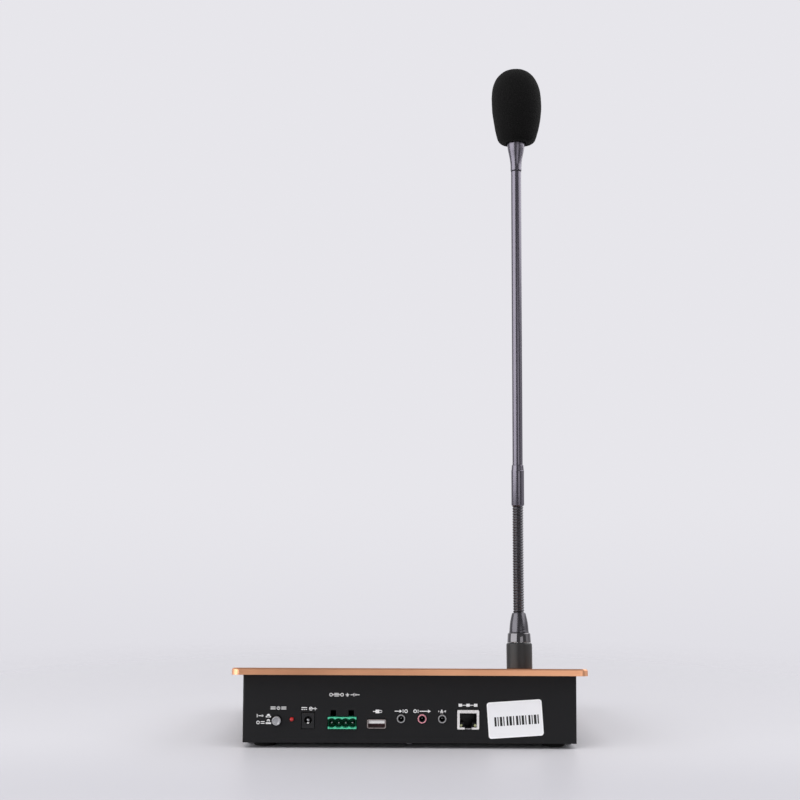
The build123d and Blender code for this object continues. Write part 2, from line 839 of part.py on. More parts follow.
# ---------------------------------------------------------------- flexible neck
neck_end_in_collar = neck_top + 10
neck_radius = neck_diameter / 2

for number in range(1, neck_joints + 2):
    has_ball = number > 1
    has_cup = number <= neck_joints
    bottom = joint_stations[number - 2] + joint_gap if has_ball else ferrule_top
    top = joint_stations[number - 1] - joint_gap if has_cup else neck_end_in_collar
    line = link_planes[number - 1]
    with BuildPart() as neck_link:
        with BuildSketch(line.offset(bottom)):
            Circle(neck_radius)
        extrude(amount=top - bottom)
        chamfer(neck_link.edges().filter_by(GeomType.CIRCLE), 0.3)
        if has_ball:
            with Locations(line.offset(joint_stations[number - 2]).origin):
                Sphere(ball_radius)
        if has_cup:
            with Locations(line.offset(joint_stations[number - 1]).origin):
                Sphere(ball_radius + ball_play, mode=Mode.SUBTRACT)
        with BuildSketch(line.offset(bottom - 2 * ball_radius)):
            Circle(lead_bore)
        extrude(amount=top - bottom + 4 * ball_radius, mode=Mode.SUBTRACT)
    save(neck_link, f"neck_link_{number}")

# ---------------------------------------------------------------- stem
tube_bottom = collar_top - 14
tube_end = tube_top + 6

with BuildPart() as neck_collar:
    with BuildSketch(stem_section):
        with BuildLine():
            Polyline(
                (neck_radius + 0.05, neck_top),
                (collar_diameter / 2 - 0.6, neck_top),
                (collar_diameter / 2, neck_top + 0.6),
                (collar_diameter / 2, collar_top - 4.5),
                (collar_diameter / 2 - 0.5, collar_top),
                (tube_diameter / 2 + 0.05, collar_top),
                (tube_diameter / 2 + 0.05, tube_bottom),
                (lead_bore, tube_bottom),
                (lead_bore, neck_end_in_collar),
                (neck_radius + 0.05, neck_end_in_collar),
                close=True,
            )
        make_face()
    revolve(axis=stem_axis)
save(neck_collar, "neck_collar")

with BuildPart() as stem_tube:
    with BuildSketch(stem.offset(tube_bottom)):
        Circle(tube_diameter / 2)
        Circle(tube_diameter / 2 - 0.9, mode=Mode.SUBTRACT)
    extrude(amount=tube_end - tube_bottom)
save(stem_tube, "stem_tube")

# ---------------------------------------------------------------- capsule housing, cage and windscreen
cage_radius = 7.0
cage_top = housing_top + 46
cage_bottom = housing_top + 7
capsule_seat = housing_top + 12

with BuildPart() as capsule_housing:
    with BuildSketch(stem_section):
        with BuildLine():
            Polyline(
                (tube_diameter / 2 + 0.05, tube_top),
                (housing_diameters[0] / 2 - 0.15, tube_top),
                (housing_diameters[0] / 2, tube_top + 0.5),
                (housing_diameters[0] / 2, tube_top + 3.5),
            )
            Spline(
                (housing_diameters[0] / 2, tube_top + 3.5),
                (4.55, tube_top + 7.3),
                (5.05, tube_top + 11.3),
                (5.95, tube_top + 15.3),
                (housing_diameters[1] / 2, housing_top),
                tangents=((0, 1), (0.06, 1)),
            )
            Polyline(
                (housing_diameters[1] / 2, housing_top),
                (cage_radius, housing_top + 1),
                (cage_radius, cage_bottom),
                (cage_radius - 0.7, cage_bottom),
                (cage_radius - 0.7, capsule_seat - 0.5),
                (lead_bore, capsule_seat - 0.5),
                (lead_bore, tube_end),
                (tube_diameter / 2 + 0.05, tube_end),
                (tube_diameter / 2 + 0.05, tube_top),
            )
        make_face()
    revolve(axis=stem_axis)
save(capsule_housing, "capsule_housing")

with BuildPart() as capsule_cage:
    cage_wall = 0.65
    with BuildSketch(stem_section):
        with BuildLine():
            Polyline(
                (cage_radius - cage_wall, cage_bottom + 0.05),
                (cage_radius, cage_bottom + 0.05),
                (cage_radius, cage_top - 3),
                (cage_radius - 2, cage_top - 0.8),
                (0, cage_top),
                (0, cage_top - cage_wall),
                (cage_radius - 2.3, cage_top - 0.8 - cage_wall),
                (cage_radius - cage_wall, cage_top - 3.2),
                close=True,
            )
        make_face()
    revolve(axis=stem_axis)
    # upright sound slots all round
    with BuildSketch(stem.offset(capsule_seat + 3)):
        with PolarLocations(cage_radius, 10):
            Rectangle(3, 1.8)
    extrude(amount=26, mode=Mode.SUBTRACT)
save(capsule_cage, "capsule_cage")

with BuildPart() as capsule:
    with BuildSketch(stem.offset(capsule_seat)):
        Circle(6.1)
    extrude(amount=9)
    chamfer(capsule.edges().filter_by(GeomType.CIRCLE), 0.4)
save(capsule, "capsule")

with BuildPart() as windscreen:
    foam_radius = foam_diameter / 2
    mouth_radius = cage_radius + 0.4
    mouth_roof = cage_top + 1.5
    with BuildSketch(stem_section):
        with BuildLine():
            # egg shape: full crown, tapering to a rolled lip round the mouth
            Spline(
                (0, foam_top),
                (foam_radius * 0.52, foam_top - 2.2),
                (foam_radius * 0.81, foam_top - 8.1),
                (foam_radius * 0.965, foam_top - 16),
                (foam_radius, foam_top - 26.5),
                (foam_radius * 0.937, foam_top - 41),
                (foam_radius * 0.79, foam_top - 53.5),
                tangents=((1, 0), (-0.45, -1)),
            )
            ThreePointArc(
                (foam_radius * 0.79, foam_top - 53.5),
                (foam_radius * 0.68, foam_top - 57.3),
                (foam_radius * 0.52, foam_top - 58.4),
            )
            ThreePointArc(
                (foam_radius * 0.52, foam_top - 58.4),
                (mouth_radius + 0.8, foam_top - 57.9),
                (mouth_radius, foam_top - 56),
            )
            Line((mouth_radius, foam_top - 56), (mouth_radius, mouth_roof))
            Line((mouth_radius, mouth_roof), (0, mouth_roof))
            Line((0, mouth_roof), (0, foam_top))
        make_face()
    revolve(axis=stem_axis)
save(windscreen, "windscreen")
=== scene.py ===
"""Looks for the paging console with its gooseneck microphone.

The row frame has +Z up, and the connector wall faces +Y. Shapes are drawn in millimetres on local axes,
which carry them into Blender's metres.
"""
import json
import math

import bmesh
import bpy
from mathutils import Matrix, Vector, noise


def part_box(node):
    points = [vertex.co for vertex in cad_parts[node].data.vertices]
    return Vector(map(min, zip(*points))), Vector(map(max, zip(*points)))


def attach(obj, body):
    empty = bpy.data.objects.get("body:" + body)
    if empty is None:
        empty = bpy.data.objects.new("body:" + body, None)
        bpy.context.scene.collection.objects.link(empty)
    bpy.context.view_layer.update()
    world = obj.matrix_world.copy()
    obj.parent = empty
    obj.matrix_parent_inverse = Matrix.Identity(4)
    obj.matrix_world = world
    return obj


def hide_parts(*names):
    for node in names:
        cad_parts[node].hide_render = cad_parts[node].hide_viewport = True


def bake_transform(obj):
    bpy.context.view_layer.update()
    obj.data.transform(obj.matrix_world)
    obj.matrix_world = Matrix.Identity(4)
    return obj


MM = 0.001
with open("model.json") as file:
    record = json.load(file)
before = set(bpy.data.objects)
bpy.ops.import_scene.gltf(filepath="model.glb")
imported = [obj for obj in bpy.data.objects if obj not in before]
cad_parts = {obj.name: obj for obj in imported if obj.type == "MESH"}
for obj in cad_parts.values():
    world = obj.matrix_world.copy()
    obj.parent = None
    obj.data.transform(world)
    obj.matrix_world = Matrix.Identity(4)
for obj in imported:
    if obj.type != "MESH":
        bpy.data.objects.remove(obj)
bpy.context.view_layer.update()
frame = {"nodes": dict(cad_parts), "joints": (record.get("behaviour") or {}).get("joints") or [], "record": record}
cad = frame["nodes"]
joints = {joint["name"]: joint for joint in frame["joints"]}


# ------------------------------------------------------------------ places, read from the frame
class Axes:
    """A local frame: an origin, one direction along, and two square to it."""

    def __init__(self, origin, across, along):
        self.origin = Vector(origin)
        self.along = Vector(along).normalized()
        self.across = (Vector(across) - self.along * self.along.dot(Vector(across))).normalized()
        self.side = self.along.cross(self.across)

    def point(self, a, b, c):
        """Point a mm across, b mm to the side and c mm along."""
        return self.origin + (self.across * a + self.side * b + self.along * c) * MM

    def ring(self, radius, height, angle):
        """Point at a radius and height in mm, turned by an angle in radians."""
        return self.point(radius * math.cos(angle), radius * math.sin(angle), height)


ROW_X = (1, 0, 0)
RING_PIVOT_HEIGHT = 10.0  # the lock ring's joint lies this far up the microphone
panel_normal = Vector(joints["mic_unplug"]["axis"]).normalized()
ring_pivot = Vector(joints["lock_ring_turn"]["pos_m"])
mic = Axes(ring_pivot - panel_normal * RING_PIVOT_HEIGHT * MM, ROW_X, panel_normal)
wall_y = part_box("case_body")[1].y
wall = Axes((0, wall_y, 0), (-1, 0, 0), (0, 1, 0))

# heights are measured along the bent neck, and the straight stem goes on from its last joint
neck_joints = [f"neck_{kind}_{k}" for k in (1, 2, 3) for kind in ("pitch", "roll")]
pivots = [Vector(joints[name]["pos_m"]) for name in neck_joints]
pivot_heights = [(pivots[0] - mic.origin).dot(mic.along) / MM]
for below, above in zip(pivots, pivots[1:]):
    pivot_heights.append(pivot_heights[-1] + (above - below).length / MM)
link_pitch = pivot_heights[1] - pivot_heights[0]
stem_along = Vector(joints["windscreen_pull"]["axis"]).normalized()
link_lines = [mic.along] + [(b - a).normalized() for a, b in zip(pivots, pivots[1:])] + [stem_along]
stem = Axes(pivots[-1] - stem_along * pivot_heights[-1] * MM, ROW_X, stem_along)


def ends_of(node, axes):
    """Heights along the axes, in mm, of a node's low and high end."""
    heights = [(v.co - axes.origin).dot(axes.along) / MM for v in cad[node].data.vertices]
    return min(heights), max(heights)


def radius_about(node, axes):
    """Largest distance, in mm, of a node's surface from an axis."""
    spokes = [v.co - axes.origin for v in cad[node].data.vertices]
    return max((s - axes.along * s.dot(axes.along)).length for s in spokes) / MM


def wall_place(node):
    """Centre of a rear-wall node as (across, up) in mm, seen from the rear."""
    low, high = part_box(node)
    return -(low.x + high.x) / 2 / MM, (low.z + high.z) / 2 / MM


def wall_face(node):
    """How far, in mm, a node stands out of the rear wall."""
    return (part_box(node)[1].y - wall_y) / MM


def wall_axes(a, b):
    """Axes straight out of the rear wall at a place (across, up) on it."""
    return Axes(wall.point(a, b, 0), wall.across, wall.along)


def top_axes(node):
    """Axes on top of a panel node: across +X, side up the slope, along the panel's normal."""
    low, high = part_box(node)
    middle = (low + high) / 2
    tops = [(v.co - middle).dot(panel_normal) for v in cad[node].data.vertices]
    return Axes(middle + panel_normal * max(tops), ROW_X, panel_normal)


# ------------------------------------------------------------------ shader helpers
NOISE_LOW, NOISE_HIGH = 0.3, 0.7  # noise stays mostly between these


def shader(name):
    """A new material with a Principled shader: (material, nodes, links, shader)."""
    made = bpy.data.materials.new(name)
    made.use_nodes = True
    nodes, links = made.node_tree.nodes, made.node_tree.links
    return made, nodes, links, nodes["Principled BSDF"]


def stretched_noise(nodes, links, scale, detail=4.0, roughness=0.6):
    """Noise in object space, scaled separately along X, Y and Z."""
    coords = nodes.new("ShaderNodeTexCoord")
    mapping = nodes.new("ShaderNodeMapping")
    mapping.inputs["Scale"].default_value = scale
    texture = nodes.new("ShaderNodeTexNoise")
    texture.inputs["Scale"].default_value = 1.0
    texture.inputs["Detail"].default_value = detail
    texture.inputs["Roughness"].default_value = roughness
    links.new(coords.outputs["Object"], mapping.inputs["Vector"])
    links.new(mapping.outputs["Vector"], texture.inputs["Vector"])
    return texture.outputs["Fac"]


def ranged(nodes, links, value, low, high, start=NOISE_LOW, end=NOISE_HIGH, ease="LINEAR"):
    """Maps a value from start..end to low..high."""
    spread = nodes.new("ShaderNodeMapRange")
    spread.interpolation_type = ease
    spread.inputs["From Min"].default_value = start
    spread.inputs["From Max"].default_value = end
    spread.inputs["To Min"].default_value = low
    spread.inputs["To Max"].default_value = high
    links.new(value, spread.inputs["Value"])
    return spread.outputs["Result"]


def mixed(nodes, links, factor, first, second):
    """Colour that goes from the first to the second as the factor goes from 0 to 1."""
    mix = nodes.new("ShaderNodeMix")
    mix.data_type = "RGBA"
    mix.inputs["A"].default_value = [*first, 1]
    mix.inputs["B"].default_value = [*second, 1]
    links.new(factor, mix.inputs["Factor"])
    return mix.outputs["Result"]


def average(nodes, links, first, second):
    """Mean of two values."""
    half = nodes.new("ShaderNodeMath")
    half.operation = "MULTIPLY"
    half.inputs[1].default_value = 0.5
    links.new(second, half.inputs[0])
    total = nodes.new("ShaderNodeMath")
    total.operation = "MULTIPLY_ADD"
    total.inputs[1].default_value = 0.5
    links.new(first, total.inputs[0])
    links.new(half.outputs[0], total.inputs[2])
    return total.outputs[0]


def relief(nodes, links, bsdf, height, strength, distance):
    """Bump from a height value, over a distance in metres."""
    bump = nodes.new("ShaderNodeBump")
    bump.inputs["Strength"].default_value = strength
    bump.inputs["Distance"].default_value = distance
    links.new(height, bump.inputs["Height"])
    links.new(bump.outputs["Normal"], bsdf.inputs["Normal"])


# ------------------------------------------------------------------ materials
def surface(name, colour, roughness, metallic=0.0, grain=(2500, 2500, 2500), bump=0.02, depth=0.0001,
            tint=0.12, rough_range=0.08, smudge=60.0, coat=0.0, coat_roughness=0.1, specular=0.5):
    """A finish with fine relief, slow colour variation and uneven gloss.

    grain and smudge scale the fine and the slow noise. tint and rough_range say how far the colour and
    the roughness stray. bump is the relief's share of depth, which is in metres.
    """
    made, nodes, links, bsdf = shader(name)
    bsdf.inputs["Metallic"].default_value = metallic
    bsdf.inputs["Coat Weight"].default_value = coat
    bsdf.inputs["Coat Roughness"].default_value = coat_roughness
    bsdf.inputs["Specular IOR Level"].default_value = specular
    fine = stretched_noise(nodes, links, grain)
    slow = stretched_noise(nodes, links, (smudge, smudge, smudge), detail=3.0)
    patches = ranged(nodes, links, average(nodes, links, fine, slow), 0.0, 1.0)
    darker = [c * (1 - tint) for c in colour]
    lighter = [min(1, c * (1 + tint)) for c in colour]
    links.new(mixed(nodes, links, patches, darker, lighter), bsdf.inputs["Base Color"])
    low, high = max(0.02, roughness - rough_range), min(1.0, roughness + rough_range)
    links.new(ranged(nodes, links, slow, low, high), bsdf.inputs["Roughness"])
    relief(nodes, links, bsdf, fine, 1.0, depth * bump)
    return made


def brushed_copper():
    """Copper-coloured anodised aluminium, brushed along its length."""
    made = surface("copper_anodised", (1.0, 0.475, 0.275), 0.33, metallic=1.0, grain=(25, 4200, 4200),
                   bump=0.16, depth=0.00012, tint=0.10, rough_range=0.05, smudge=18)
    made.node_tree.nodes["Principled BSDF"].inputs["Anisotropic"].default_value = 0.45
    return made


def open_cell_foam():
    """Open-cell foam: lighter ribs round small cells whose darker centres are painted shade in the pores."""
    made, nodes, links, bsdf = shader("foam_charcoal")
    bsdf.inputs["Roughness"].default_value = 0.95
    bsdf.inputs["Specular IOR Level"].default_value = 0.15
    bsdf.inputs["Sheen Weight"].default_value = 0.02
    bsdf.inputs["Sheen Roughness"].default_value = 0.6
    coords = nodes.new("ShaderNodeTexCoord")
    cells = nodes.new("ShaderNodeTexVoronoi")
    cells.inputs["Scale"].default_value = 1500
    links.new(coords.outputs["Object"], cells.inputs["Vector"])
    # The ramp darkens each cell towards its centre: painted shade in the pores, over the foam's own charcoal.
    ramp = nodes.new("ShaderNodeValToRGB")
    ramp.color_ramp.elements[0].color = (0.0012, 0.0012, 0.0012, 1)
    ramp.color_ramp.elements[1].color = (0.0065, 0.0062, 0.0062, 1)
    links.new(cells.outputs["Distance"], ramp.inputs["Fac"])
    links.new(ramp.outputs["Color"], bsdf.inputs["Base Color"])
    relief(nodes, links, bsdf, cells.outputs["Distance"], 0.8, 0.0003)
    return made


FINISHES = {  # name: (colour, roughness, what else differs from surface's defaults)
    # case, panel and display
    "case_paint": ((0.0075, 0.0075, 0.0085), 0.55,
                   dict(grain=(1700, 1700, 1700), bump=0.5, rough_range=0.06, specular=0.25)),
    "black_rubber": ((0.012, 0.012, 0.012), 0.85, dict(bump=0.5, specular=0.25)),
    "cover_glass": ((0.006, 0.006, 0.007), 0.06,
                    dict(bump=0.0, rough_range=0.03, coat=0.6, coat_roughness=0.03)),
    "display_black": ((0.012, 0.012, 0.013), 0.3, dict(bump=0.05)),
    "display_glow": ((0.010, 0.011, 0.014), 0.05,
                     dict(bump=0.0, rough_range=0.02, coat=0.5, coat_roughness=0.03)),
    "key_silicone": ((0.03, 0.03, 0.032), 0.5, dict(bump=0.3)),
    "talk_key_red": ((0.40, 0.02, 0.015), 0.35, dict(bump=0.2, coat=0.3)),
    # rear wall
    "black_plastic": ((0.010, 0.010, 0.011), 0.42, dict(bump=0.25, specular=0.4)),
    "white_plastic": ((0.92, 0.90, 0.89), 0.4, dict(bump=0.1)),
    "cap_grey": ((0.40, 0.40, 0.42), 0.3, dict(metallic=0.35, bump=0.1)),
    "red_lens": ((0.42, 0.012, 0.012), 0.12, dict(bump=0.03, coat=0.5)),
    # lamp_amber is lighter than the lenses' own tint: partly a painted highlight, standing for their glints.
    "lamp_amber": ((0.72, 0.76, 0.40), 0.15, dict(bump=0.05, coat=0.4)),
    "terminal_green": ((0.012, 0.36, 0.17), 0.36, dict(bump=0.25)),
    # The lips' green is a brighter copy of terminal_green, painted light on the lit lips; terminal_shadow is a
    # darker copy, painted shade in the recesses.
    "terminal_green_painted_lit": ((0.075, 0.56, 0.33), 0.3, dict(bump=0.15, coat=0.3)),
    "terminal_shadow": ((0.002, 0.070, 0.034), 0.55, dict(bump=0.2, specular=0.15)),
    "nickel_shell": ((0.88, 0.86, 0.845), 0.3, dict(metallic=0.55, bump=0.1)),
    "warm_shell": ((0.40, 0.35, 0.34), 0.34, dict(metallic=0.8, bump=0.1)),
    "usb_shadow": ((0.090, 0.038, 0.045), 0.5, dict(bump=0.2)),
    "jack_grey": ((0.30, 0.30, 0.31), 0.36, dict(bump=0.1)),
    "jack_pink": ((0.72, 0.30, 0.36), 0.36, dict(bump=0.1)),
    "label_paper": ((0.86, 0.86, 0.88), 0.55, dict(bump=0.1, tint=0.03)),
    "label_border": ((0.95, 0.95, 0.96), 0.5, dict(bump=0.05, tint=0.02)),
    "print_white": ((0.80, 0.80, 0.80), 0.5, dict(bump=0.1, tint=0.03)),
    "print_black": ((0.012, 0.012, 0.012), 0.5, dict(bump=0.1, tint=0.05)),
    # microphone
    "sleeve_black": ((0.017, 0.017, 0.018), 0.42,
                     dict(grain=(900, 900, 5200), bump=0.12, rough_range=0.04, specular=0.42)),
    "ring_gloss_black": ((0.155, 0.15, 0.16), 0.09,
                         dict(metallic=1.0, grain=(300, 300, 300), bump=0.01, tint=0.08, rough_range=0.03)),
    "gunmetal": ((0.152, 0.142, 0.171), 0.24,
                 dict(metallic=1.0, grain=(500, 500, 60), bump=0.004, tint=0.03, rough_range=0.03)),
    "cone_satin": ((0.104, 0.100, 0.112), 0.27,
                   dict(metallic=1.0, grain=(400, 400, 60), bump=0.004, tint=0.03, rough_range=0.03)),
    "neck_black": ((0.100, 0.097, 0.107), 0.22,
                   dict(metallic=1.0, grain=(1500, 1500, 1500), bump=0.03, tint=0.08)),
    "cage_steel": ((0.35, 0.35, 0.36), 0.35, dict(metallic=1.0, bump=0.1)),
    # inside the case and under it
    "zinc_steel": ((0.55, 0.55, 0.56), 0.32, dict(metallic=1.0, bump=0.1)),
    "dark_steel": ((0.10, 0.10, 0.105), 0.45, dict(metallic=1.0, bump=0.1)),
    "brass_part": ((0.70, 0.50, 0.24), 0.3, dict(metallic=1.0, bump=0.1)),
    "gold_plate": ((0.85, 0.60, 0.25), 0.25, dict(metallic=1.0, bump=0.05)),
    "board_green": ((0.015, 0.10, 0.045), 0.4, dict(bump=0.2)),
    "chip_black": ((0.02, 0.02, 0.02), 0.6, dict(bump=0.3)),
    "speaker_steel": ((0.02, 0.02, 0.02), 0.5, dict(bump=0.2)),
    "speaker_paper": ((0.02, 0.02, 0.02), 0.8, dict(bump=0.5)),
    "magnet_ferrite": ((0.04, 0.04, 0.04), 0.7, dict(bump=0.4)),
}
materials = {name: surface(name, colour, rough, **more) for name, (colour, rough, more) in FINISHES.items()}
materials["copper_anodised"] = brushed_copper()
materials["foam_charcoal"] = open_cell_foam()


def dress(piece, name):
    """Gives a piece one material."""
    piece.data.materials.clear()
    piece.data.materials.append(materials[name])


def dress_cad_nodes():
    """Every CAD node takes its slot's material, and the cover's screws are darker than the board's."""
    for row in frame["record"]["subparts"]:
        dress(cad[row["node"]], row["material_slot"])
    dress(cad["cover_screws"], "dark_steel")


# ------------------------------------------------------------------ mesh helpers
def add_piece(name, vertices, faces, finish, body, replaces=(), sharp=30):
    """A mesh piece that rides on a body. Edges sharper than the given angle stay crisp."""
    mesh = bpy.data.meshes.new(name)
    mesh.from_pydata([tuple(v) for v in vertices], [], faces)
    outward = bmesh.new()
    outward.from_mesh(mesh)
    bmesh.ops.recalc_face_normals(outward, faces=outward.faces)
    outward.to_mesh(mesh)
    outward.free()
    mesh.polygons.foreach_set("use_smooth", [True] * len(mesh.polygons))
    mesh.set_sharp_from_angle(angle=math.radians(sharp))
    mesh.update()
    piece = bpy.data.objects.new(name, mesh)
    bpy.context.scene.collection.objects.link(piece)
    dress(piece, finish)
    if body:
        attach(piece, body)
    if replaces:
        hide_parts(*replaces)
    return piece


def tube_faces(rows, segments, first=0):
    """Four-cornered faces between rings of vertices that follow each other."""
    faces = []
    for row in range(rows):
        base = first + row * segments
        for k in range(segments):
            n = (k + 1) % segments
            faces.append([base + k, base + n, base + segments + n, base + segments + k])
    return faces


def soften(profile, radius, steps=4):
    """Rounds the inner corners of an open (radius, height) profile."""
    out = [profile[0]]
    for before, corner, after in zip(profile, profile[1:], profile[2:]):
        a, b, c = Vector(before), Vector(corner), Vector(after)
        cut = min(radius, (a - b).length * 0.45, (c - b).length * 0.45)
        start, end = b + (a - b).normalized() * cut, b + (c - b).normalized() * cut
        for k in range(steps + 1):
            t = k / steps
            out.append(tuple(start * (1 - t) ** 2 + b * 2 * t * (1 - t) + end * t**2))
    out.append(profile[-1])
    return out


def lathe(name, profile, axes, finish, body, replaces=(), segments=96, closed=True):
    """Turns a (radius, height) profile, in mm, about an axis. A radius of 0 is a pole."""
    vertices, rings = [], []
    for radius, height in profile:
        if radius < 1e-6:
            rings.append([len(vertices)] * segments)
            vertices.append(axes.ring(0, height, 0))
        else:
            rings.append(list(range(len(vertices), len(vertices) + segments)))
            vertices += [axes.ring(radius, height, math.tau * k / segments) for k in range(segments)]
    pairs = list(zip(rings, rings[1:]))
    if closed:
        pairs.append((rings[-1], rings[0]))
    faces = []
    for low, high in pairs:
        for k in range(segments):
            n = (k + 1) % segments
            corners = [low[k], low[n], high[n], high[k]]
            face = [v for i, v in enumerate(corners) if v != corners[i - 1]]
            if len(face) > 2:
                faces.append(face)
    return add_piece(name, vertices, faces, finish, body, replaces, sharp=32)


def bar(a0, b0, a1, b1):
    """Upright rectangle between two corners."""
    return [(a0, b0), (a1, b0), (a1, b1), (a0, b1)]


def disc(a, b, radius, count=20):
    """Filled circle."""
    angles = [math.tau * k / count for k in range(count)]
    return [(a + radius * math.cos(t), b + radius * math.sin(t)) for t in angles]


def arc_band(a, b, outer, inner, start=0.0, end=360.0, count=28):
    """Band between two radii, as a row of four-cornered shapes; angles in degrees."""
    shapes = []
    for k in range(count):
        t0, t1 = (math.radians(start + (end - start) * (k + j) / count) for j in (0, 1))
        corners = ((outer, t0), (outer, t1), (inner, t1), (inner, t0))
        shapes.append([(a + r * math.cos(t), b + r * math.sin(t)) for r, t in corners])
    return shapes


def rounded(a, b, width, height, radius, count=6):
    """Outline of a rounded rectangle about a centre."""
    out = []
    for k, (i, j) in enumerate(((1, 1), (-1, 1), (-1, -1), (1, -1))):
        for n in range(count + 1):
            t = math.radians(90 * (k + n / count))
            out.append((a + i * (width / 2 - radius) + radius * math.cos(t),
                        b + j * (height / 2 - radius) + radius * math.sin(t)))
    return out


def moved(shapes, a, b):
    """Shapes drawn about zero, carried to a place."""
    return [[(x + a, y + b) for x, y in shape] for shape in shapes]


def round_edges(piece, width, angle=35, segments=2):
    """Small rounded edges that catch the light."""
    weld = piece.modifiers.new("weld", "WELD")
    weld.merge_threshold = 0.00001
    bevel = piece.modifiers.new("edges", "BEVEL")
    bevel.width = width * MM
    bevel.segments = segments
    bevel.limit_method = "ANGLE"
    bevel.angle_limit = math.radians(angle)
    bevel.harden_normals = True


def prisms(name, shapes, axes, low, high, finish, body="console", replaces=(), edge=0.0):
    """Flat shapes raised from one height to another along the axes, as one piece."""
    vertices, faces = [], []
    for shape in shapes:
        first, count = len(vertices), len(shape)
        vertices += [axes.point(a, b, low) for a, b in shape] + [axes.point(a, b, high) for a, b in shape]
        faces += [list(range(first, first + count)), list(range(first + count, first + 2 * count))]
        faces += tube_faces(1, count, first)
    piece = add_piece(name, vertices, faces, finish, body, replaces)
    if edge:
        round_edges(piece, edge)


def frame_prism(name, outer, inner, axes, low, high, finish, replaces=(), edge=0.0):
    """A closed frame between two outlines with the same number of corners."""
    count = len(outer)
    loops = ((outer, low), (outer, high), (inner, high), (inner, low))
    vertices = [axes.point(a, b, c) for line, c in loops for a, b in line]
    faces = [[v % len(vertices) for v in face] for face in tube_faces(len(loops), count)]
    piece = add_piece(name, vertices, faces, finish, "console", replaces)
    if edge:
        round_edges(piece, edge)


# ------------------------------------------------------------------ microphone: turned pieces
tube_r = radius_about("stem_tube", stem)
cone_top = ends_of("neck_ferrule", mic)[1]
collar_low, collar_high = ends_of("neck_collar", stem)


def make_lock_ring():
    """Ring that locks the plug to its socket, with an inner lip at the top."""
    low, high = ends_of("lock_ring", mic)
    radius = radius_about("lock_ring", mic)
    bore, lip, lip_depth = 7.6, 6.3, 3
    profile = [(bore, low), (radius - 0.35, low), (radius, low + 0.4), (radius, high - 1.0),
               (radius - 0.75, high), (lip, high), (lip, high - lip_depth), (bore, high - lip_depth)]
    lathe("lock_ring_sleeve", soften(profile, 0.15), mic, "sleeve_black", "lock_ring", ["lock_ring"], 128)


def make_taper_ring():
    """Glossy ring between the lock ring and the cone."""
    low, high = ends_of("taper_ring", mic)
    radius = radius_about("taper_ring", mic)
    bore = 6.3
    profile = [(bore, low), (radius, low), (radius - 0.4, high - 0.7), (radius - 1.0, high), (bore, high)]
    lathe("taper_ring_gloss", soften(profile, 0.3), mic, "ring_gloss_black", "mic_plug", ["taper_ring"], 128)


def make_cone():
    """Ferrule that narrows, a little bulged, from a short band to the flexible neck."""
    low = ends_of("taper_ring", mic)[1]
    radius = radius_about("neck_ferrule", mic)
    foot, band, tip, mouth, bulge, steps = 4.0, 1.0, 5.15, 3.6, 0.42, 10
    start_r, start, end = radius - 0.12, low + band + 0.3, cone_top - 0.4
    profile = [(foot, low), (radius, low), (radius, low + band), (start_r, start)]
    for k in range(1, steps + 1):
        t = k / steps
        narrowed = start_r + (tip - start_r) * t + bulge * math.sin(math.pi * t)
        profile.append((narrowed, start + (end - start) * t))
    profile += [(tip - 0.35, cone_top), (mouth, cone_top), (mouth, cone_top - 2)]
    lathe("neck_cone", soften(profile, 0.2), mic, "cone_satin", "mic_plug", ["neck_ferrule"], 128)


def make_collar():
    """Sleeve over the neck's top end, which tapers onto the tube."""
    low, high = collar_low, collar_high
    radius = radius_about("neck_collar", stem)
    mouth, taper = 3.9, 4.6
    profile = [(mouth - 0.2, low + 3), (mouth, low), (radius - 0.6, low), (radius, low + 0.7),
               (radius, high - taper), (radius - 0.16, high - taper + 0.4), (radius - 0.5, high - 0.3),
               (radius - 0.75, high), (tube_r, high), (tube_r - 0.1, high - 3)]
    lathe("collar_sleeve", soften(profile, 0.15), stem, "gunmetal", "stem", ["neck_collar"])


def make_stem_tube():
    """Straight drawn tube."""
    low, high = ends_of("stem_tube", stem)
    bore, rings = tube_r - 0.9, 40
    outside = [(tube_r, low + (high - low) * k / rings) for k in range(rings + 1)]
    profile = [(bore, low)] + outside + [(bore, high)]
    lathe("stem_tube_drawn", profile, stem, "gunmetal", "stem", ["stem_tube"])


def make_capsule_housing():
    """Slim neck that opens into a bell, on a rim with a thin black ring under it that is painted shade: it stands
    for the shadow line where the housing meets the tube.
    """
    flare = [  # (radius, height above the rim)
        (4.0, 0.0), (4.28, 0.5), (4.28, 1.6), (4.22, 3.3), (4.30, 5.3), (4.50, 7.3), (4.78, 9.4),
        (5.12, 11.3), (5.53, 13.3), (5.97, 15.3), (6.34, 17.3), (6.62, 19.3), (6.80, 21.3), (6.88, 22.5),
        (7.0, 23.6), (7.0, 29.5), (5.8, 29.5),
    ]
    rim = ends_of("capsule_housing", stem)[0]
    profile = [(tube_r, rim + 2), (tube_r, rim)] + [(radius, rim + height) for radius, height in flare]
    lathe("capsule_housing_flared", soften(profile, 0.3), stem, "gunmetal", "stem", ["capsule_housing"])
    # The black ring is painted shade: a dark band standing for the shadow line under the housing's rim.
    painted_shadow_line = [(tube_r - 0.2, rim + 0.4), (tube_r - 0.2, rim - 0.5), (tube_r + 0.12, rim - 0.45),
            (tube_r + 0.12, rim + 0.4)]
    lathe("housing_painted_shadow_ring", painted_shadow_line, stem, "black_rubber", "stem")


# ------------------------------------------------------------------ flexible neck
NECK_SEGMENTS = 56
WIRE_PITCH, WIRE_GROOVE, WIRE_ROWS = 2.0, 0.6, 12  # mm, mm, rows of faces in one turn
WIRE_SWELL = 0.28  # the round wires stand this far out of the plain links
link_middles = [(a + b) / 2 for a, b in zip(pivot_heights, pivot_heights[1:])]


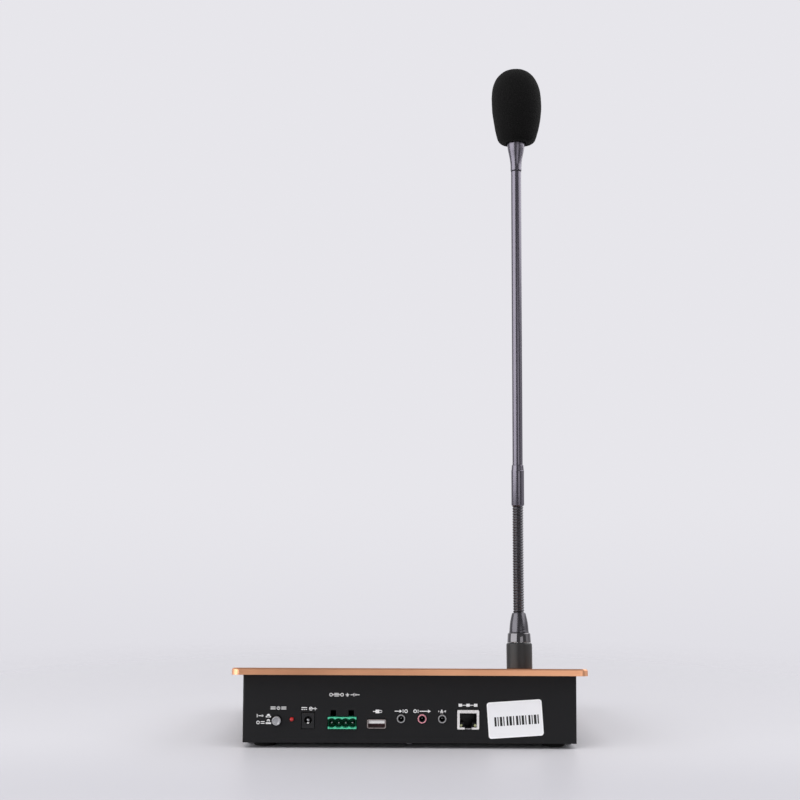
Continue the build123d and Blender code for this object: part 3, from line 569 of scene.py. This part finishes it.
def neck_line(height):
    """Axes of the neck at a height along it, with the bend at each joint spread over one link."""
    steps = (height - pivot_heights[0]) / link_pitch + 0.5
    if steps <= 0:
        return mic
    if steps >= len(pivots):
        return stem
    number = int(steps)
    t = steps - number
    pivot, low, high = pivots[number], link_lines[number], link_lines[number + 1]
    start, end = pivot - low * link_pitch * MM / 2, pivot + high * link_pitch * MM / 2
    spot = start * (1 - t) ** 2 + pivot * 2 * t * (1 - t) + end * t**2
    along = (low * (1 - t) + high * t).normalized()
    return Axes(spot - along * height * MM, ROW_X, along)


def make_neck():
    """Spiral tube of round wires side by side, in lengths that each bend across one joint."""
    radius = radius_about("neck_link_3", neck_line(link_middles[1])) + WIRE_SWELL
    cuts = [cone_top - 1.0] + link_middles + [collar_low + 1.0]
    stands_for = {1: ["neck_link_1"], 6: ["neck_link_6", "neck_link_7"]}
    angles = [math.tau * k / NECK_SEGMENTS for k in range(NECK_SEGMENTS)]
    for number, (low, high) in enumerate(zip(cuts, cuts[1:]), start=1):
        rows = max(2, round((high - low) / WIRE_PITCH * WIRE_ROWS))
        vertices = []
        for row in range(rows + 1):
            height = low + (high - low) * row / rows
            axes = neck_line(height)
            for angle in angles:
                phase = (height / WIRE_PITCH - angle / math.tau) % 1.0
                groove = WIRE_GROOVE * abs(math.cos(math.pi * phase)) ** 2.2
                vertices.append(axes.ring(radius - groove, height, angle))
        coil = add_piece(f"neck_coil_{number}", vertices, tube_faces(rows, NECK_SEGMENTS), "neck_black", None,
                         stands_for.get(number, [f"neck_link_{number}"]), sharp=75)
        start, end = (neck_line(h).point(0, 0, h) for h in (max(low, cone_top), min(high, collar_low)))
        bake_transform(coil)


# ------------------------------------------------------------------ foam windscreen
FOAM_SEGMENTS, FOAM_ROWS = 220, 8
FOAM_MIDDLE = 28  # mm below the crown
CROWN_DEPTH, CROWN_POWER = 25.5, 2.35
CROWN_SHARES = (0.0, 0.12, 0.25, 0.38, 0.5, 0.62, 0.72, 0.8, 0.87, 0.93, 0.97, 0.995)
FOAM_SIDE = [  # (share of the largest radius, mm below the crown), from the crown's edge into the mouth
    (1.0, 26.0), (1.0, 29.0), (0.993, 32.5), (0.968, 37), (0.934, 41.5), (0.875, 47.5), (0.79, 53.7),
    (0.745, 55.8), (0.68, 57.4), (0.60, 58.2), (0.51, 58.4), (0.44, 58.1), (0.395, 57.0), (0.382, 54.5),
    (0.38, 47),
]
SEAT_SHIFTS = [(0, -0.2), (9, -0.2), (17, 0.2), (29, 0.65), (41, 0.85), (54, 0.6), (70, 0.6)]
FADE_START, MOUTH_R, FADE_WIDTH = 30, 7.6, 3.0  # below this drop, the shift fades out towards the mouth
foam_r = radius_about("windscreen", stem)
foam_high = ends_of("windscreen", stem)[1]


def smooth_outline(points, steps):
    """Catmull-Rom curve through the outline's points."""
    out = []
    for k in range(len(points) - 1):
        p0, p1, p2, p3 = (Vector(points[max(0, min(len(points) - 1, i))]) for i in (k - 1, k, k + 1, k + 2))
        for j in range(steps):
            t = j / steps
            out.append(0.5 * (2 * p1 + (p2 - p0) * t + (2 * p0 - 5 * p1 + 4 * p2 - p3) * t * t
                              + (3 * p1 - p0 - 3 * p2 + p3) * t**3))
    out.append(Vector(points[-1]))
    return out


def cell_relief(point):
    """Height in mm of the open-cell surface at a point in metres."""
    fine = 0.10 * noise.noise(point * 1500)
    coarse = 0.08 * noise.noise(point * 420 + Vector((7, 3, 1)))
    return fine + coarse


def seat_shift(radius, height):
    """How far, in mm, the outside of the soft foam sits off centre, since it was pushed on by hand."""
    drop = foam_high - height
    for (d0, s0), (d1, s1) in zip(SEAT_SHIFTS, SEAT_SHIFTS[1:]):
        if drop <= d1:
            break
    shift = s0 + (s1 - s0) * min(1.0, max(0.0, (drop - d0) / (d1 - d0)))
    if drop < FADE_START:
        return -shift
    return -shift * min(1.0, max(0.0, (radius - MOUTH_R) / FADE_WIDTH))


def make_windscreen():
    """Foam cover on the housing: a full crown, sides that draw in, and a rounded rim round the mouth."""
    crown = [(s, CROWN_DEPTH * (1 - (1 - s**CROWN_POWER) ** (1 / CROWN_POWER))) for s in CROWN_SHARES]
    top, widest = foam_high - 0.1, foam_r - 0.05  # a little inside the plain solid, as room for the cells
    profile = [(share * widest, top - drop) for share, drop in crown + FOAM_SIDE]
    outline = smooth_outline(profile, FOAM_ROWS)
    middle = stem.point(0, 0, foam_high - FOAM_MIDDLE)
    vertices = [stem.point(seat_shift(0, foam_high), 0, outline[0].y)]
    for radius, height in outline[1:]:
        for k in range(FOAM_SEGMENTS):
            spot = stem.ring(radius, height, math.tau * k / FOAM_SEGMENTS)
            spot += stem.across * seat_shift(radius, height) * MM
            vertices.append(spot + (spot - middle).normalized() * cell_relief(spot) * MM)
    faces = [[0, 1 + k, 1 + (k + 1) % FOAM_SEGMENTS] for k in range(FOAM_SEGMENTS)]
    faces += tube_faces(len(outline) - 2, FOAM_SEGMENTS, first=1)
    windscreen = add_piece("foam_windscreen", vertices, faces, "foam_charcoal", "windscreen", ["windscreen"],
                           sharp=180)


# ------------------------------------------------------------------ rear wall: where its sockets are
button_a, button_b = wall_place("power_button")
socket_a, socket_b = wall_place("dc_jack_pin")
header_a, header_b = wall_place("terminal_header")
usb_a, usb_b = wall_place("usb_shell")
lan_a, lan_b = wall_place("lan_jack_shield")
aux_a, aux_b = wall_place("aux_jack_ring")
line_a, mic_a = aux_a - 15.3, aux_a + 14.6  # the two grey jacks, on either side of the pink one


# ------------------------------------------------------------------ rear wall: printed pictograms
def power_mark():
    """Broken ring with an upright bar, between paired dashes."""
    dashes = [bar(s * 2.1, low, s * 5.7, low + 0.6) for s in (-1, 1) for low in (-0.95, 0.35)]
    return arc_band(0, 0, 1.25, 0.82, 125, 415) + [bar(-0.22, -0.1, 0.22, 1.3)] + dashes


def on_mark():
    """An upright bar beside a line that ends in a dot."""
    return [bar(-2.1, -1.2, -1.6, 1.2), bar(-0.9, -0.3, 2.2, 0.3), disc(1.9, 0, 0.75)]


def off_mark():
    """An open ring beside two lines."""
    return arc_band(-1.8, 0, 1.25, 0.75) + [bar(0.1, -0.9, 2.9, -0.35), bar(0.1, 0.35, 2.9, 0.9)]


def push_marks():
    """A push-button held in, over one that stands out."""
    pressed = [bar(-1.9, 2.3, 1.9, 3.3), disc(0, 3.6, 1.2)]
    released = [bar(-1.95, -2.4, 1.95, -1.3), bar(-0.75, -1.3, 0.75, 0), disc(0, -0.1, 1.15)]
    return pressed + released


def direct_current_mark():
    """A line over dashes, then a ringed contact and a plus."""
    dashes = [bar(1.5 * k - 5.6, -0.9, 1.5 * k - 4.6, -0.3) for k in range(3)]
    contact = arc_band(1.2, 0, 1.3, 0.85) + [disc(1.2, 0, 0.45)]
    plus = [bar(2.5, -0.25, 5.6, 0.25), bar(4.1, -1.1, 4.6, 1.1)]
    return [bar(-5.6, 0.45, -1.6, 1.05)] + dashes + contact + plus


def contact_pair_mark():
    """Two rings joined by three lines."""
    rings = arc_band(-4.0, 0, 1.25, 0.75) + arc_band(4.0, 0, 1.25, 0.75)
    return rings + [bar(-2.8, -0.28, 2.8, 0.28), bar(-1.6, 0.7, 1.6, 1.2), bar(-1.6, -1.2, 1.6, -0.7)]


def supply_mark():
    """Earth bars and a cell."""
    earth = [bar(-3.9 - w, h, -3.9 + w, h + 0.45) for w, h in ((1.3, -0.1), (0.85, -0.75), (0.4, -1.3))]
    cell = [bar(-1.6, -0.25, 0.6, 0.25), bar(0.6, -1.2, 1.1, 1.2), bar(1.9, -0.7, 2.5, 0.7),
            bar(2.5, -0.25, 4.9, 0.25)]
    return earth + [bar(-4.15, 0.3, -3.65, 1.25)] + cell


def data_plug_mark():
    """A flat plug with its lead."""
    shell = [bar(1.3, 0.55, 3.3, 1.0), bar(1.3, -1.0, 3.3, -0.55), bar(3.0, -1.0, 3.3, 1.0)]
    return [bar(-3.3, -0.3, -1.4, 0.3), bar(-1.4, -1.25, 1.3, 1.25)] + shell


def signal_in_mark():
    """An arrow that ends at a socket."""
    arrow = [bar(-4.6, -0.3, -0.9, 0.3), [(-1.1, -1.2), (0.7, 0), (-1.1, 1.2)]]
    return arrow + arc_band(3.6, 0, 1.3, 0.75) + [bar(1.2, -1.2, 1.7, 1.2)]


def signal_out_mark():
    """An arrow that leaves a socket."""
    arrow = [bar(-1.9, -0.3, 4.6, 0.3), [(4.3, -1.2), (6.4, 0), (4.3, 1.2)]]
    return arc_band(-5.1, 0, 1.3, 0.75) + [bar(-3.2, -1.2, -2.7, 1.2)] + arrow


def microphone_mark():
    """A small microphone in its cradle, with sound on both sides."""
    head = [rounded(-0.3, 0.35, 1.1, 1.8, 0.54)] + arc_band(-0.3, 0.1, 1.2, 0.85, 180, 360, 14)
    foot = [bar(-0.5, -1.2, -0.1, -0.9), bar(-1.4, -1.3, 0.8, -0.9)]
    sound = [bar(0.75 * k + 1.5, -0.5 - 0.3 * k, 0.75 * k + 1.95, 0.5 + 0.3 * k) for k in range(2)]
    return head + foot + sound + [bar(-2.8, -0.5, -2.3, 0.5)]


def network_mark():
    """Three boxes on one line."""
    boxes = [bar(5.6 * k - 1.25, -1.05, 5.6 * k + 1.25, 1.05) for k in (-1, 0, 1)]
    return boxes + [bar(-4.4, -0.25, -1.25, 0.25), bar(1.25, -0.25, 4.4, 0.25)]


def print_wall():
    """All white pictograms of the rear wall, each over or beside its own socket."""
    ink_low, ink_high = 0.01, 0.06
    terminals_b, jacks_b = header_b + 20.15, aux_b + 5.45
    marks = [
        (power_mark(), button_a + 1.3, button_b + 9.05),
        (on_mark(), button_a - 12.2, button_b + 3.5),
        (off_mark(), button_a - 11.6, button_b - 1.35),
        (push_marks(), button_a - 5.9, button_b),
        (direct_current_mark(), socket_a + 0.75, socket_b + 8.3),
        (contact_pair_mark(), header_a - 4.2, terminals_b),
        (supply_mark(), header_a + 7.6, terminals_b),
        (data_plug_mark(), usb_a + 0.6, usb_b + 8.8),
        (signal_in_mark(), line_a, jacks_b),
        (signal_out_mark(), aux_a, jacks_b),
        (microphone_mark(), mic_a, jacks_b),
        (network_mark(), lan_a - 0.1, lan_b + 10.3),
    ]
    shapes = [shape for mark, a, b in marks for shape in moved(mark, a, b)]
    prisms("wall_pictograms", shapes, wall, ink_low, ink_high, "print_white")


# ------------------------------------------------------------------ rear wall: sticker
LABEL_TURN = math.radians(3.9)
CODE_BARS = [  # (bar, gap after it)
    (1.5, 0.8), (0.8, 0.9), (1.7, 0.8), (0.8, 1.5), (1.3, 0.8), (1.8, 0.9), (0.8, 1.4), (1.6, 0.8),
    (0.9, 0.8), (1.7, 0.9), (0.8, 1.5), (1.5, 0.8), (0.8, 0.9), (1.8, 0.8), (0.9, 0.0),
]


def on_label(shape):
    """A shape drawn about the label's centre, laid on the wall with the label's turn."""
    a, b = wall_place("address_label")
    c, s = math.cos(LABEL_TURN), math.sin(LABEL_TURN)
    return [(a + x * c - y * s, b + x * s + y * c) for x, y in shape]


def make_label():
    """White rim round the sticker, and plain dark bars where a label carries its code."""
    paper = wall_face("address_label")
    outer, inner = on_label(rounded(0, 0, 39.9, 25.9, 1.95)), on_label(rounded(0, 0, 38.5, 24.5, 1.3))
    frame_prism("label_border", outer, inner, wall, paper - 0.05, paper + 0.03, "label_border")
    bars, reach = [], -15.2
    for thick, gap in CODE_BARS:
        bars.append(on_label(bar(reach, -4.4, reach + thick, 2.2)))
        reach += thick + gap
    prisms("label_code_bars", bars, wall, paper + 0.005, paper + 0.035, "print_black")


# ------------------------------------------------------------------ rear wall: sockets
def make_terminal_block():
    """Green header: scalloped lips above and below four round bays, with a ribbed back. The lips take a brighter
    copy of the green as painted light, and the ends, back and ribs a darker copy as painted shade.
    """
    pole_pitch, bay, slot, lip_edge, arc_steps = 5.08, 3.5, 2.6, 4.2, 8
    lip_back, back_low, back_high = -8.0, -11.0, -7.2
    low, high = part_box("terminal_header")
    width, height = (high.x - low.x) / MM, (high.z - low.z) / MM
    left, right, face = header_a - width / 2, header_a + width / 2, wall_face("terminal_header")
    poles = [header_a + pole_pitch * (k - 1.5) for k in range(4)]
    bay_start = math.asin(slot / bay)
    for name, side in (("terminal_lip_top", 1), ("terminal_lip_bottom", -1)):
        line = [(left, header_b + side * lip_edge), (left, header_b + side * slot)]
        for pole in poles:
            for k in range(arc_steps + 1):
                t = math.pi - bay_start - (math.pi - 2 * bay_start) * k / arc_steps
                line.append((pole + bay * math.cos(t), header_b + side * bay * math.sin(t)))
        line += [(right, header_b + side * slot), (right, header_b + side * lip_edge)]
        replaces = ["terminal_header"] if side > 0 else ()
        prisms(name, [line], wall, lip_back, face, "terminal_green_painted_lit", replaces=replaces, edge=0.22)
    ends = [bar(left, header_b - slot, left + 0.8, header_b + slot),
            bar(right, header_b - slot, right - 0.8, header_b + slot)]
    prisms("terminal_ends", ends, wall, lip_back, face - 2.6, "terminal_shadow", edge=0.15)
    back = bar(left + 0.2, header_b - height / 2 + 0.2, right - 0.2, header_b + height / 2 - 0.2)
    prisms("terminal_back", [back], wall, back_low, back_high, "terminal_shadow")
    ribs = []
    for pole in poles:
        for start in (35, 215):
            ribs += arc_band(pole, header_b, 2.3, 1.75, start, start + 110, 8)
    prisms("terminal_ribs", ribs, wall, back_high - 0.1, -3.0, "terminal_shadow")


def make_usb_socket():
    """Folded shell with a tongue, four contacts and a dark back."""
    outer, inner = rounded(usb_a, usb_b, 13.7, 6.5, 1.35), rounded(usb_a, usb_b, 12.5, 5.4, 0.8)
    frame_prism("usb_shell_formed", outer, inner, wall, -13.0, wall_face("usb_shell"), "warm_shell",
                replaces=["usb_shell"], edge=0.15)
    tongue = rounded(usb_a, usb_b + 1.3, 11.9, 2.3, 0.2, 2)
    prisms("usb_tongue_block", [tongue], wall, -10.0, -0.1, "white_plastic", replaces=["usb_tongue"],
           edge=0.12)
    back = bar(usb_a - 6.3, usb_b - 2.75, usb_a + 6.3, usb_b + 2.75)
    prisms("usb_back", [back], wall, -13.2, -4.5, "usb_shadow")
    middles = [usb_a + offset for offset in (-3.5, -1.0, 1.0, 3.5)]
    contacts = [bar(a - 0.5, usb_b - 2.1, a + 0.5, usb_b - 0.6) for a in middles]
    prisms("usb_contacts", contacts, wall, -4.6, -3.6, "usb_shadow", edge=0.1)


def make_jack(name, a, outer, finish, replaces=()):
    """Audio socket: a light rim, a black throat set back inside it, and the contact leaf behind."""
    axes = wall_axes(a, aux_b)
    bore, throat, face = outer - 0.78, 1.8, 1.25
    rim = [(bore, -1.5), (bore, face - 0.3), (outer - 0.5, face), (outer - 0.3, face), (outer, face - 0.3),
           (outer, -1.5)]
    lathe(name + "_rim", soften(rim, 0.12), axes, finish, "console", replaces, 64)
    inside = [(throat, -1.6), (throat, 0.35), (throat + 0.2, 0.55), (bore - 0.01, 0.55), (bore - 0.01, -1.6)]
    lathe(name + "_throat", soften(inside, 0.1), axes, "black_plastic", "console", (), 64)
    leaf = [(0.0, -9.0), (0.9, -9.0), (1.0, -5.0), (0.7, -2.7), (0.0, -2.4)]
    lathe(name + "_leaf", soften(leaf, 0.3), axes, "zinc_steel", "console", (), 32, closed=False)


def make_power_inlet():
    """Raised mouth round the inlet, and the spring contact under its pin, drawn in white as a painted glint."""
    face = wall_face("dc_jack_housing")
    bore, outside = 2.9, 3.45
    mouth = [(bore, -3.0), (bore, face), (bore + 0.2, face + 0.12), (outside - 0.1, face + 0.12),
             (outside, face - 0.05), (outside, -3.0)]
    axes = wall_axes(socket_a, socket_b)
    lathe("dc_inlet_mouth", soften(mouth, 0.06), axes, "black_plastic", "console", (), 64)
    # The metal spring contact takes the white plastic finish: a painted glint where its highlight shows in the
    # inlet.
    glint_spring = bar(socket_a - 0.75, socket_b - 2.55, socket_a + 0.75, socket_b - 1.75)
    prisms("dc_inlet_spring_painted_glint", [glint_spring], wall, -8.5, -0.3, "white_plastic", edge=0.15)


def make_network_lamps():
    """Two small lenses low in the network socket, in a lightened tint that is partly a painted highlight for their
    glints.
    """
    lenses = [rounded(lan_a + s * 5.15, lan_b - 4.35, 2.1, 1.9, 0.5, 3) for s in (-1, 1)]
    prisms("lan_lamp_lenses", lenses, wall, -4.0, -0.75, "lamp_amber", replaces=["lan_jack_lamps"], edge=0.35)


def make_power_button():
    """Round cap with a shallow dish."""
    low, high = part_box("power_button")
    radius = (high.x - low.x) / MM / 2 - 0.08
    face = wall_face("power_button")
    dish = [(0.0, face - 0.75), (1.4, face - 0.68), (2.25, face - 0.45), (2.45, face - 0.05), (2.8, face),
            (radius, face - 0.35), (radius, -3.0), (0.0, -3.0)]
    lathe("power_button_cap", soften(dish, 0.2), wall_axes(button_a, button_b), "cap_grey", "power_button",
          ["power_button"], closed=False)


def round_cad_edges():
    """The CAD nodes that stay visible get small rounded edges."""
    widths = {"case_body": 0.25, "lan_jack_shield": 0.12, "dc_jack_housing": 0.15, "terminal_pins": 0.08,
              "talk_key": 0.12, "rubber_feet": 0.3}
    for node, width in widths.items():
        round_edges(cad[node], width)


# ------------------------------------------------------------------ user side: key prints and display
def volume_mark():
    """Loudspeaker with two sound arcs."""
    horn = [(-3.2, -1.0), (-1.8, -1.0), (0, -2.4), (0, 2.4), (-1.8, 1.0), (-3.2, 1.0)]
    return [horn] + arc_band(0.2, 0, 1.8, 1.35, -45, 45, 8) + arc_band(0.2, 0, 3.2, 2.75, -45, 45, 10)


def talk_mark():
    """Microphone in its cradle."""
    head = [rounded(0, 1.6, 2.6, 5.0, 1.28), bar(-0.3, -3.9, 0.3, -2.6), bar(-1.9, -4.5, 1.9, -3.9)]
    return head + arc_band(0, 1.0, 3.0, 2.4, 180, 360, 16)


def print_keys():
    """Icons on the keys. The talk key's mark lies in its dish, and its ring on the rim."""
    minus = bar(-2.4, -0.35, 2.4, 0.35)
    icons = {
        "function_key_1": volume_mark(),
        "function_key_2": [[(-2.0, -2.4), (2.4, 0), (-2.0, 2.4)]],
        "function_key_3": [minus],
        "function_key_4": [minus, bar(-0.35, -2.4, 0.35, -0.35), bar(-0.35, 0.35, 0.35, 2.4)],
        "talk_key": arc_band(0, 0, 8.6, 8.2, count=64),
    }
    for node, icon in icons.items():
        prisms(node + "_print", icon, top_axes(node), 0.005, 0.05, "print_white", body=node)
    prisms("talk_key_mark", talk_mark(), top_axes("talk_key"), -0.6, -0.36, "print_white", body="talk_key")


def make_display():
    """Switched-off picture area under the glass."""
    area = rounded(0, 0, 154, 87, 0.6, 3)
    prisms("display_area", [area], top_axes("touch_glass"), 0.004, 0.02, "display_glow")


# ------------------------------------------------------------------ stage, light and camera
CAMERA = Vector((0.0100, 1.0506, 0.1766))
YAW, PITCH, ROLL = math.radians(-0.11), math.radians(4.6), math.radians(0.27)
LENS = 58.5


def add_camera():
    """Camera behind the console, level with its top, a little below the middle of the stem."""
    ahead = Vector((math.sin(YAW) * math.cos(PITCH), -math.cos(YAW) * math.cos(PITCH), math.sin(PITCH)))
    right = Vector((-math.cos(YAW), -math.sin(YAW), 0))
    up = right.cross(ahead)
    right, up = right * math.cos(ROLL) + up * math.sin(ROLL), up * math.cos(ROLL) - right * math.sin(ROLL)
    data = bpy.data.cameras.new("camera")
    data.lens = LENS
    data.clip_start = 0.01
    camera = bpy.data.objects.new("camera", data)
    camera.matrix_world = Matrix((
        (right.x, up.x, -ahead.x, CAMERA.x),
        (right.y, up.y, -ahead.y, CAMERA.y),
        (right.z, up.z, -ahead.z, CAMERA.z),
        (0, 0, 0, 1),
    ))
    bpy.context.scene.collection.objects.link(camera)
    bpy.context.scene.camera = camera


def floor_paper():
    """Pale paper that fades out round the object, painted darker towards the camera as painted shade that stands
    for the console's soft shadow on the floor.
    """
    made, nodes, links, bsdf = shader("floor_paper")
    bsdf.inputs["Roughness"].default_value = 0.45
    bsdf.inputs["Specular IOR Level"].default_value = 0.4
    coords = nodes.new("ShaderNodeTexCoord")
    split = nodes.new("ShaderNodeSeparateXYZ")
    links.new(coords.outputs["Object"], split.inputs["Vector"])
    # Darker, bluer tone towards the camera: painted shade for the console's soft shadow reaching towards the
    # camera.
    painted_shade_toward_camera = ranged(nodes, links, split.outputs["Y"], 0.0, 1.0, start=0.04, end=0.25, ease="SMOOTHSTEP")
    tone = mixed(nodes, links, painted_shade_toward_camera, (0.600, 0.595, 0.626), (0.502, 0.498, 0.532))
    links.new(tone, bsdf.inputs["Base Color"])
    distance = nodes.new("ShaderNodeVectorMath")
    distance.operation = "LENGTH"
    links.new(coords.outputs["Object"], distance.inputs[0])
    fade = ranged(nodes, links, distance.outputs["Value"], 1.0, 0.0, start=0.16, end=0.75, ease="SMOOTHSTEP")
    links.new(fade, bsdf.inputs["Alpha"])
    return made


def add_floor():
    """Studio floor that fades into the backdrop."""
    half = 6.0
    corners = [(-half, -half, 0), (half, -half, 0), (half, half, 0), (-half, half, 0)]
    mesh = bpy.data.meshes.new("floor")
    mesh.from_pydata(corners, [], [(0, 1, 2, 3)])
    mesh.materials.append(floor_paper())
    floor = bpy.data.objects.new("floor", mesh)
    bpy.context.scene.collection.objects.link(floor)


def add_world():
    """Pale backdrop for the eye, a dimmer fill for the light, weaker from the camera's side."""
    world = bpy.data.worlds.new("studio")
    world.use_nodes = True
    nodes, links = world.node_tree.nodes, world.node_tree.links
    coords = nodes.new("ShaderNodeTexCoord")
    split = nodes.new("ShaderNodeSeparateXYZ")
    links.new(coords.outputs["Generated"], split.inputs["Vector"])
    fill = nodes["Background"]
    fill.inputs["Color"].default_value = (0.97, 0.96, 1.0, 1)
    strength = ranged(nodes, links, split.outputs["Y"], 0.78, 0.25, start=-0.85, end=0.05, ease="SMOOTHSTEP")
    links.new(strength, fill.inputs["Strength"])
    backdrop = nodes.new("ShaderNodeBackground")
    sweep = ranged(nodes, links, split.outputs["Z"], 0.0, 1.0, start=-0.16, end=0.02, ease="SMOOTHSTEP")
    shade = mixed(nodes, links, sweep, (0.735, 0.727, 0.775), (0.800, 0.792, 0.832))
    links.new(shade, backdrop.inputs["Color"])
    path = nodes.new("ShaderNodeLightPath")
    choice = nodes.new("ShaderNodeMixShader")
    links.new(path.outputs["Is Camera Ray"], choice.inputs["Fac"])
    links.new(fill.outputs["Background"], choice.inputs[1])
    links.new(backdrop.outputs["Background"], choice.inputs[2])
    links.new(choice.outputs["Shader"], nodes["World Output"].inputs["Surface"])
    bpy.context.scene.world = world


def add_light(name, azimuth, distance, height, aim, size, radiance, mirrored=True):
    """Soft box round the microphone, in metres, aimed at a height on it.

    The azimuth is in degrees from the +Y side, positive towards -X.
    """
    turn = math.radians(azimuth)
    foot = stem.point(0, 0, 0)
    place = Vector((foot.x - distance * math.sin(turn), foot.y + distance * math.cos(turn), height))
    data = bpy.data.lights.new(name, "AREA")
    data.shape = "RECTANGLE"
    data.size, data.size_y = size
    data.energy = radiance * math.pi * size[0] * size[1]
    light = bpy.data.objects.new(name, data)
    light.location = place
    light.rotation_euler = (Vector((foot.x, foot.y, aim)) - place).to_track_quat("-Z", "Y").to_euler()
    light.visible_glossy = mirrored
    bpy.context.scene.collection.objects.link(light)


def add_studio():
    """Floor, backdrop and soft boxes. The top box lights the floor but shows in no reflection."""
    add_floor()
    add_world()
    add_light("top_box", azimuth=0, distance=0.8, height=1.9, aim=0.0, size=(1.6, 1.2), radiance=3.6,
              mirrored=False)
    add_light("left_box", azimuth=-64, distance=1.5, height=0.75, aim=0.45, size=(2.1, 1.4), radiance=2.5)
    add_light("right_high", azimuth=95, distance=1.3, height=1.05, aim=0.45, size=(2.4, 1.0), radiance=2.05)
    add_light("right_low", azimuth=84, distance=1.2, height=0.22, aim=0.25, size=(0.75, 0.5), radiance=0.6)
    add_light("middle_strip", azimuth=19, distance=1.6, height=0.25, aim=0.2, size=(0.8, 0.55), radiance=1.2)
    bpy.context.scene.view_settings.view_transform = "Standard"


# ------------------------------------------------------------------ the whole scene
dress_cad_nodes()
make_lock_ring()
make_taper_ring()
make_cone()
make_collar()
make_stem_tube()
make_capsule_housing()
make_neck()
make_windscreen()
print_wall()
make_label()
make_terminal_block()
make_usb_socket()
make_jack("line_in", line_a, 3.0, "jack_grey", ["audio_jack_rings"])
make_jack("mic_in", mic_a, 3.0, "jack_grey")
make_jack("aux_out", aux_a, 3.2, "jack_pink", ["aux_jack_ring"])
make_power_inlet()
make_network_lamps()
make_power_button()
round_cad_edges()
print_keys()
make_display()
add_camera()
add_studio()
